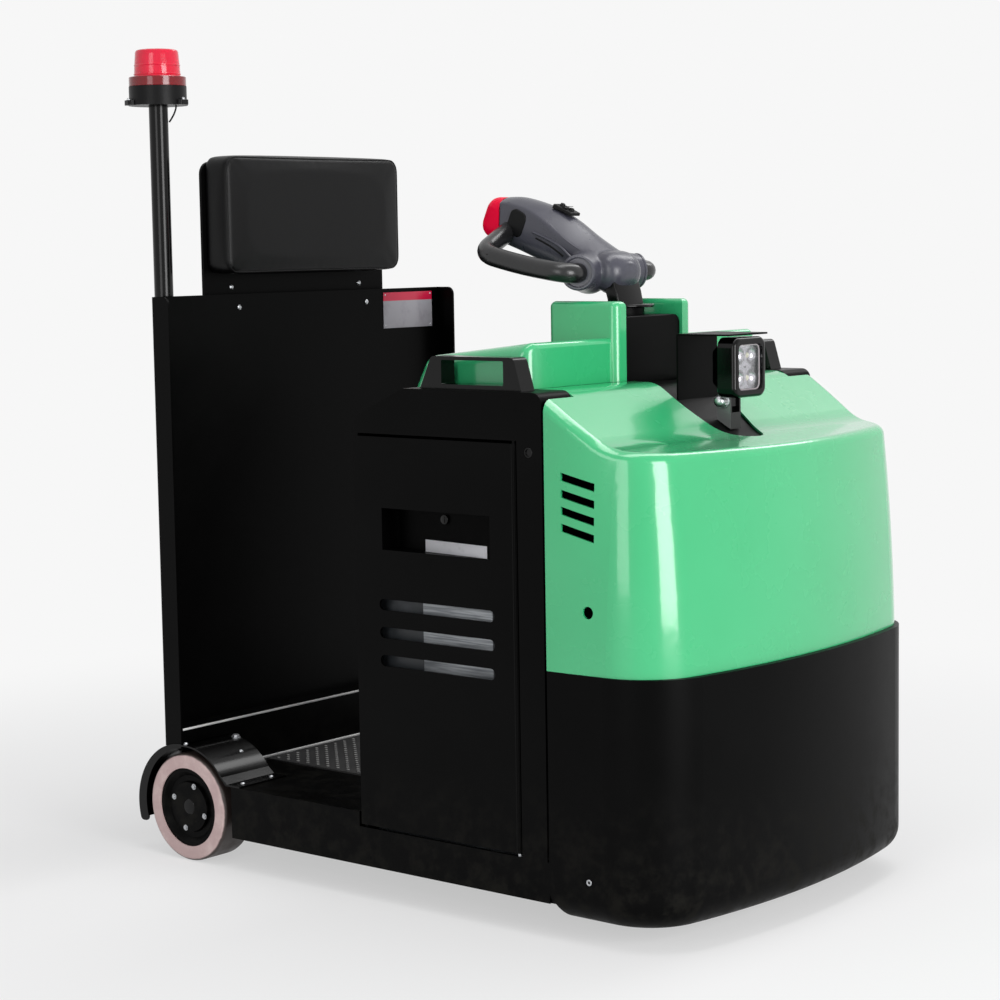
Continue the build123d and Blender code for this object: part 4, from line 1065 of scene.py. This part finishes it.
def make_tiller_loops():
    """The two loop grips, from the horns back to the head."""
    form = bmesh.new()
    for side in (-1, 1):
        corners = [spot(x, side * y, z) for x, y, z in LOOP_ROUTE]
        path = [corners[0]]
        for before, corner, after, bend in zip(corners, corners[1:], corners[2:], LOOP_BENDS):
            start = corner + (before - corner).normalized() * (bend * MM)
            end = corner + (after - corner).normalized() * (bend * MM)
            for step in range(13):
                part = step / 12
                path.append(start.lerp(corner, part).lerp(corner.lerp(end, part), part))
        path.append(corners[-1])
        tube(form, path, LOOP_RADIUS, roundness=7)
    skin = moulded("grip_skin", colour(24, 24, 25), colour(36, 36, 37), 0.24)
    loops = finished("tiller_loops", form, "tiller", "black_plastic", sharp=60, finish=skin)
    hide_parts("tiller_grips")


STRAP_FRONT = ((765, 1087), (775, 1074), (783, 1058), (789, 1040), (793, 1022), (794, 1012))
STRAP_REAR = ((770, 1012), (768, 1026), (763, 1042), (755, 1060), (744, 1076))
STRAP_HALF = 36
COLUMN_X = 772
COLLAR_PROFILE = ((0, 0), (56, 0), (57, 1), (57, 4.2), (56, 5.2), (0, 5.2))
SHAFT_PROFILE = ((0, 0), (11, 0), (12, 1), (12, 88), (0, 88))


def make_tiller_strap():
    """The bent strap, collar and shaft that carry the tiller's head."""
    form = bmesh.new()
    outline = [form.verts.new(spot(x, -STRAP_HALF, z)) for x, z in STRAP_FRONT + STRAP_REAR]
    side = form.faces.new(outline)
    grown = bmesh.ops.extrude_face_region(form, geom=[side])
    far = [v for v in grown["geom"] if isinstance(v, bmesh.types.BMVert)]
    bmesh.ops.translate(form, vec=(0, 2 * STRAP_HALF * MM, 0), verts=far)
    rims = [e for e in form.edges if abs(e.verts[0].co.y - e.verts[1].co.y) < MM]
    rounded(form, rims, 2.4 * MM, 3)
    turned(form, facing(spot(COLUMN_X, 0, 1011.3), UPRIGHT), COLLAR_PROFILE, 96)
    turned(form, facing(spot(COLUMN_X, 0, 925), UPRIGHT), SHAFT_PROFILE, 32)
    strap = finished("tiller_strap", form, "tiller", "black_gloss", sharp=50)
    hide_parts("tiller_neck")


CARRIER_BOLTS = [(-48, y, z) for y in (-72, 72) for z in (196, 290, 384)]
POST_BOLTS = [place for y in (-1, 1) for place in (
    (-34, 150 * y, 440), (-34, 150 * y, 620), (-34, 150 * y, 800), (-22, 170 * y, 1014))]


def make_rear_fittings():
    """Bolts of the coupling's carrier, the panel's posts and the backrest plate."""
    form = bmesh.new()
    for place in CARRIER_BOLTS:
        hex_bolt(form, facing(spot(*place), (-1, 0, 0)), 9 * MM, 8 * MM)
    for place in POST_BOLTS:
        hex_bolt(form, facing(spot(*place), (-1, 0, 0)), 6 * MM, 5 * MM)
    finished("rear_bolts", form, "chassis", "steel")


STUD_PITCH = 26 * MM
STUD_RADIUS = 4.6 * MM
STUD_HEIGHT = 1.6 * MM


def make_mat_studs():
    """Rows of low round studs on the platform mat, every second row shifted."""
    low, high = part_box("platform_mat")
    form = bmesh.new()
    across = int((high.y - low.y) / STUD_PITCH)
    along = int(2 * (high.x - low.x) / STUD_PITCH) - 1
    for row in range(along):
        for column in range(across):
            x = low.x + STUD_PITCH * (0.75 + row / 2)
            y = STUD_PITCH * (column - across / 2 + 0.25 + 0.5 * (row % 2))
            disc(form, Matrix.Translation((x, y, high.z - 0.1 * MM)), STUD_RADIUS, STUD_HEIGHT,
                 top=STUD_RADIUS * 0.6, sides=10)
    finished("mat_studs", form, "chassis", "mat_rubber", finish=studs_with_painted_highlight())


# the painted highlight on the stud tops starts between these heights
STUD_HIGHLIGHT_HEIGHTS = (0.1583, 0.1592)        # m above the ground


def studs_with_painted_highlight():
    """Stud tops painted pale as a painted highlight, here more and there less."""
    f = Finish("studs_with_painted_highlight")
    # the tops of the studs are painted pale: a painted highlight
    lit_tops = f.step(f.axis("Z") + 0.0009 * f.noise(38, 5), *STUD_HIGHLIGHT_HEIGHTS)
    f.set("Base Color", f.mix(lit_tops, colour(22, 22, 22), colour(150, 150, 148)))
    f.set("Roughness", 0.6 - 0.15 * lit_tops)
    return f.material


make_camera()
dress_nodes()
make_beacon_cable()
make_cushion()
make_beacon_lens()
make_panel_fittings()
make_wheel_fittings()
make_door_fittings()
make_battery_label()
make_body_fittings()
make_lamp_optics()
make_tiller_head()
make_tiller_fittings()
make_tiller_loops()
make_tiller_strap()
make_rear_fittings()
make_mat_studs()
make_floor()
make_world()
make_lights()
bpy.context.scene.view_settings.view_transform = "Standard"
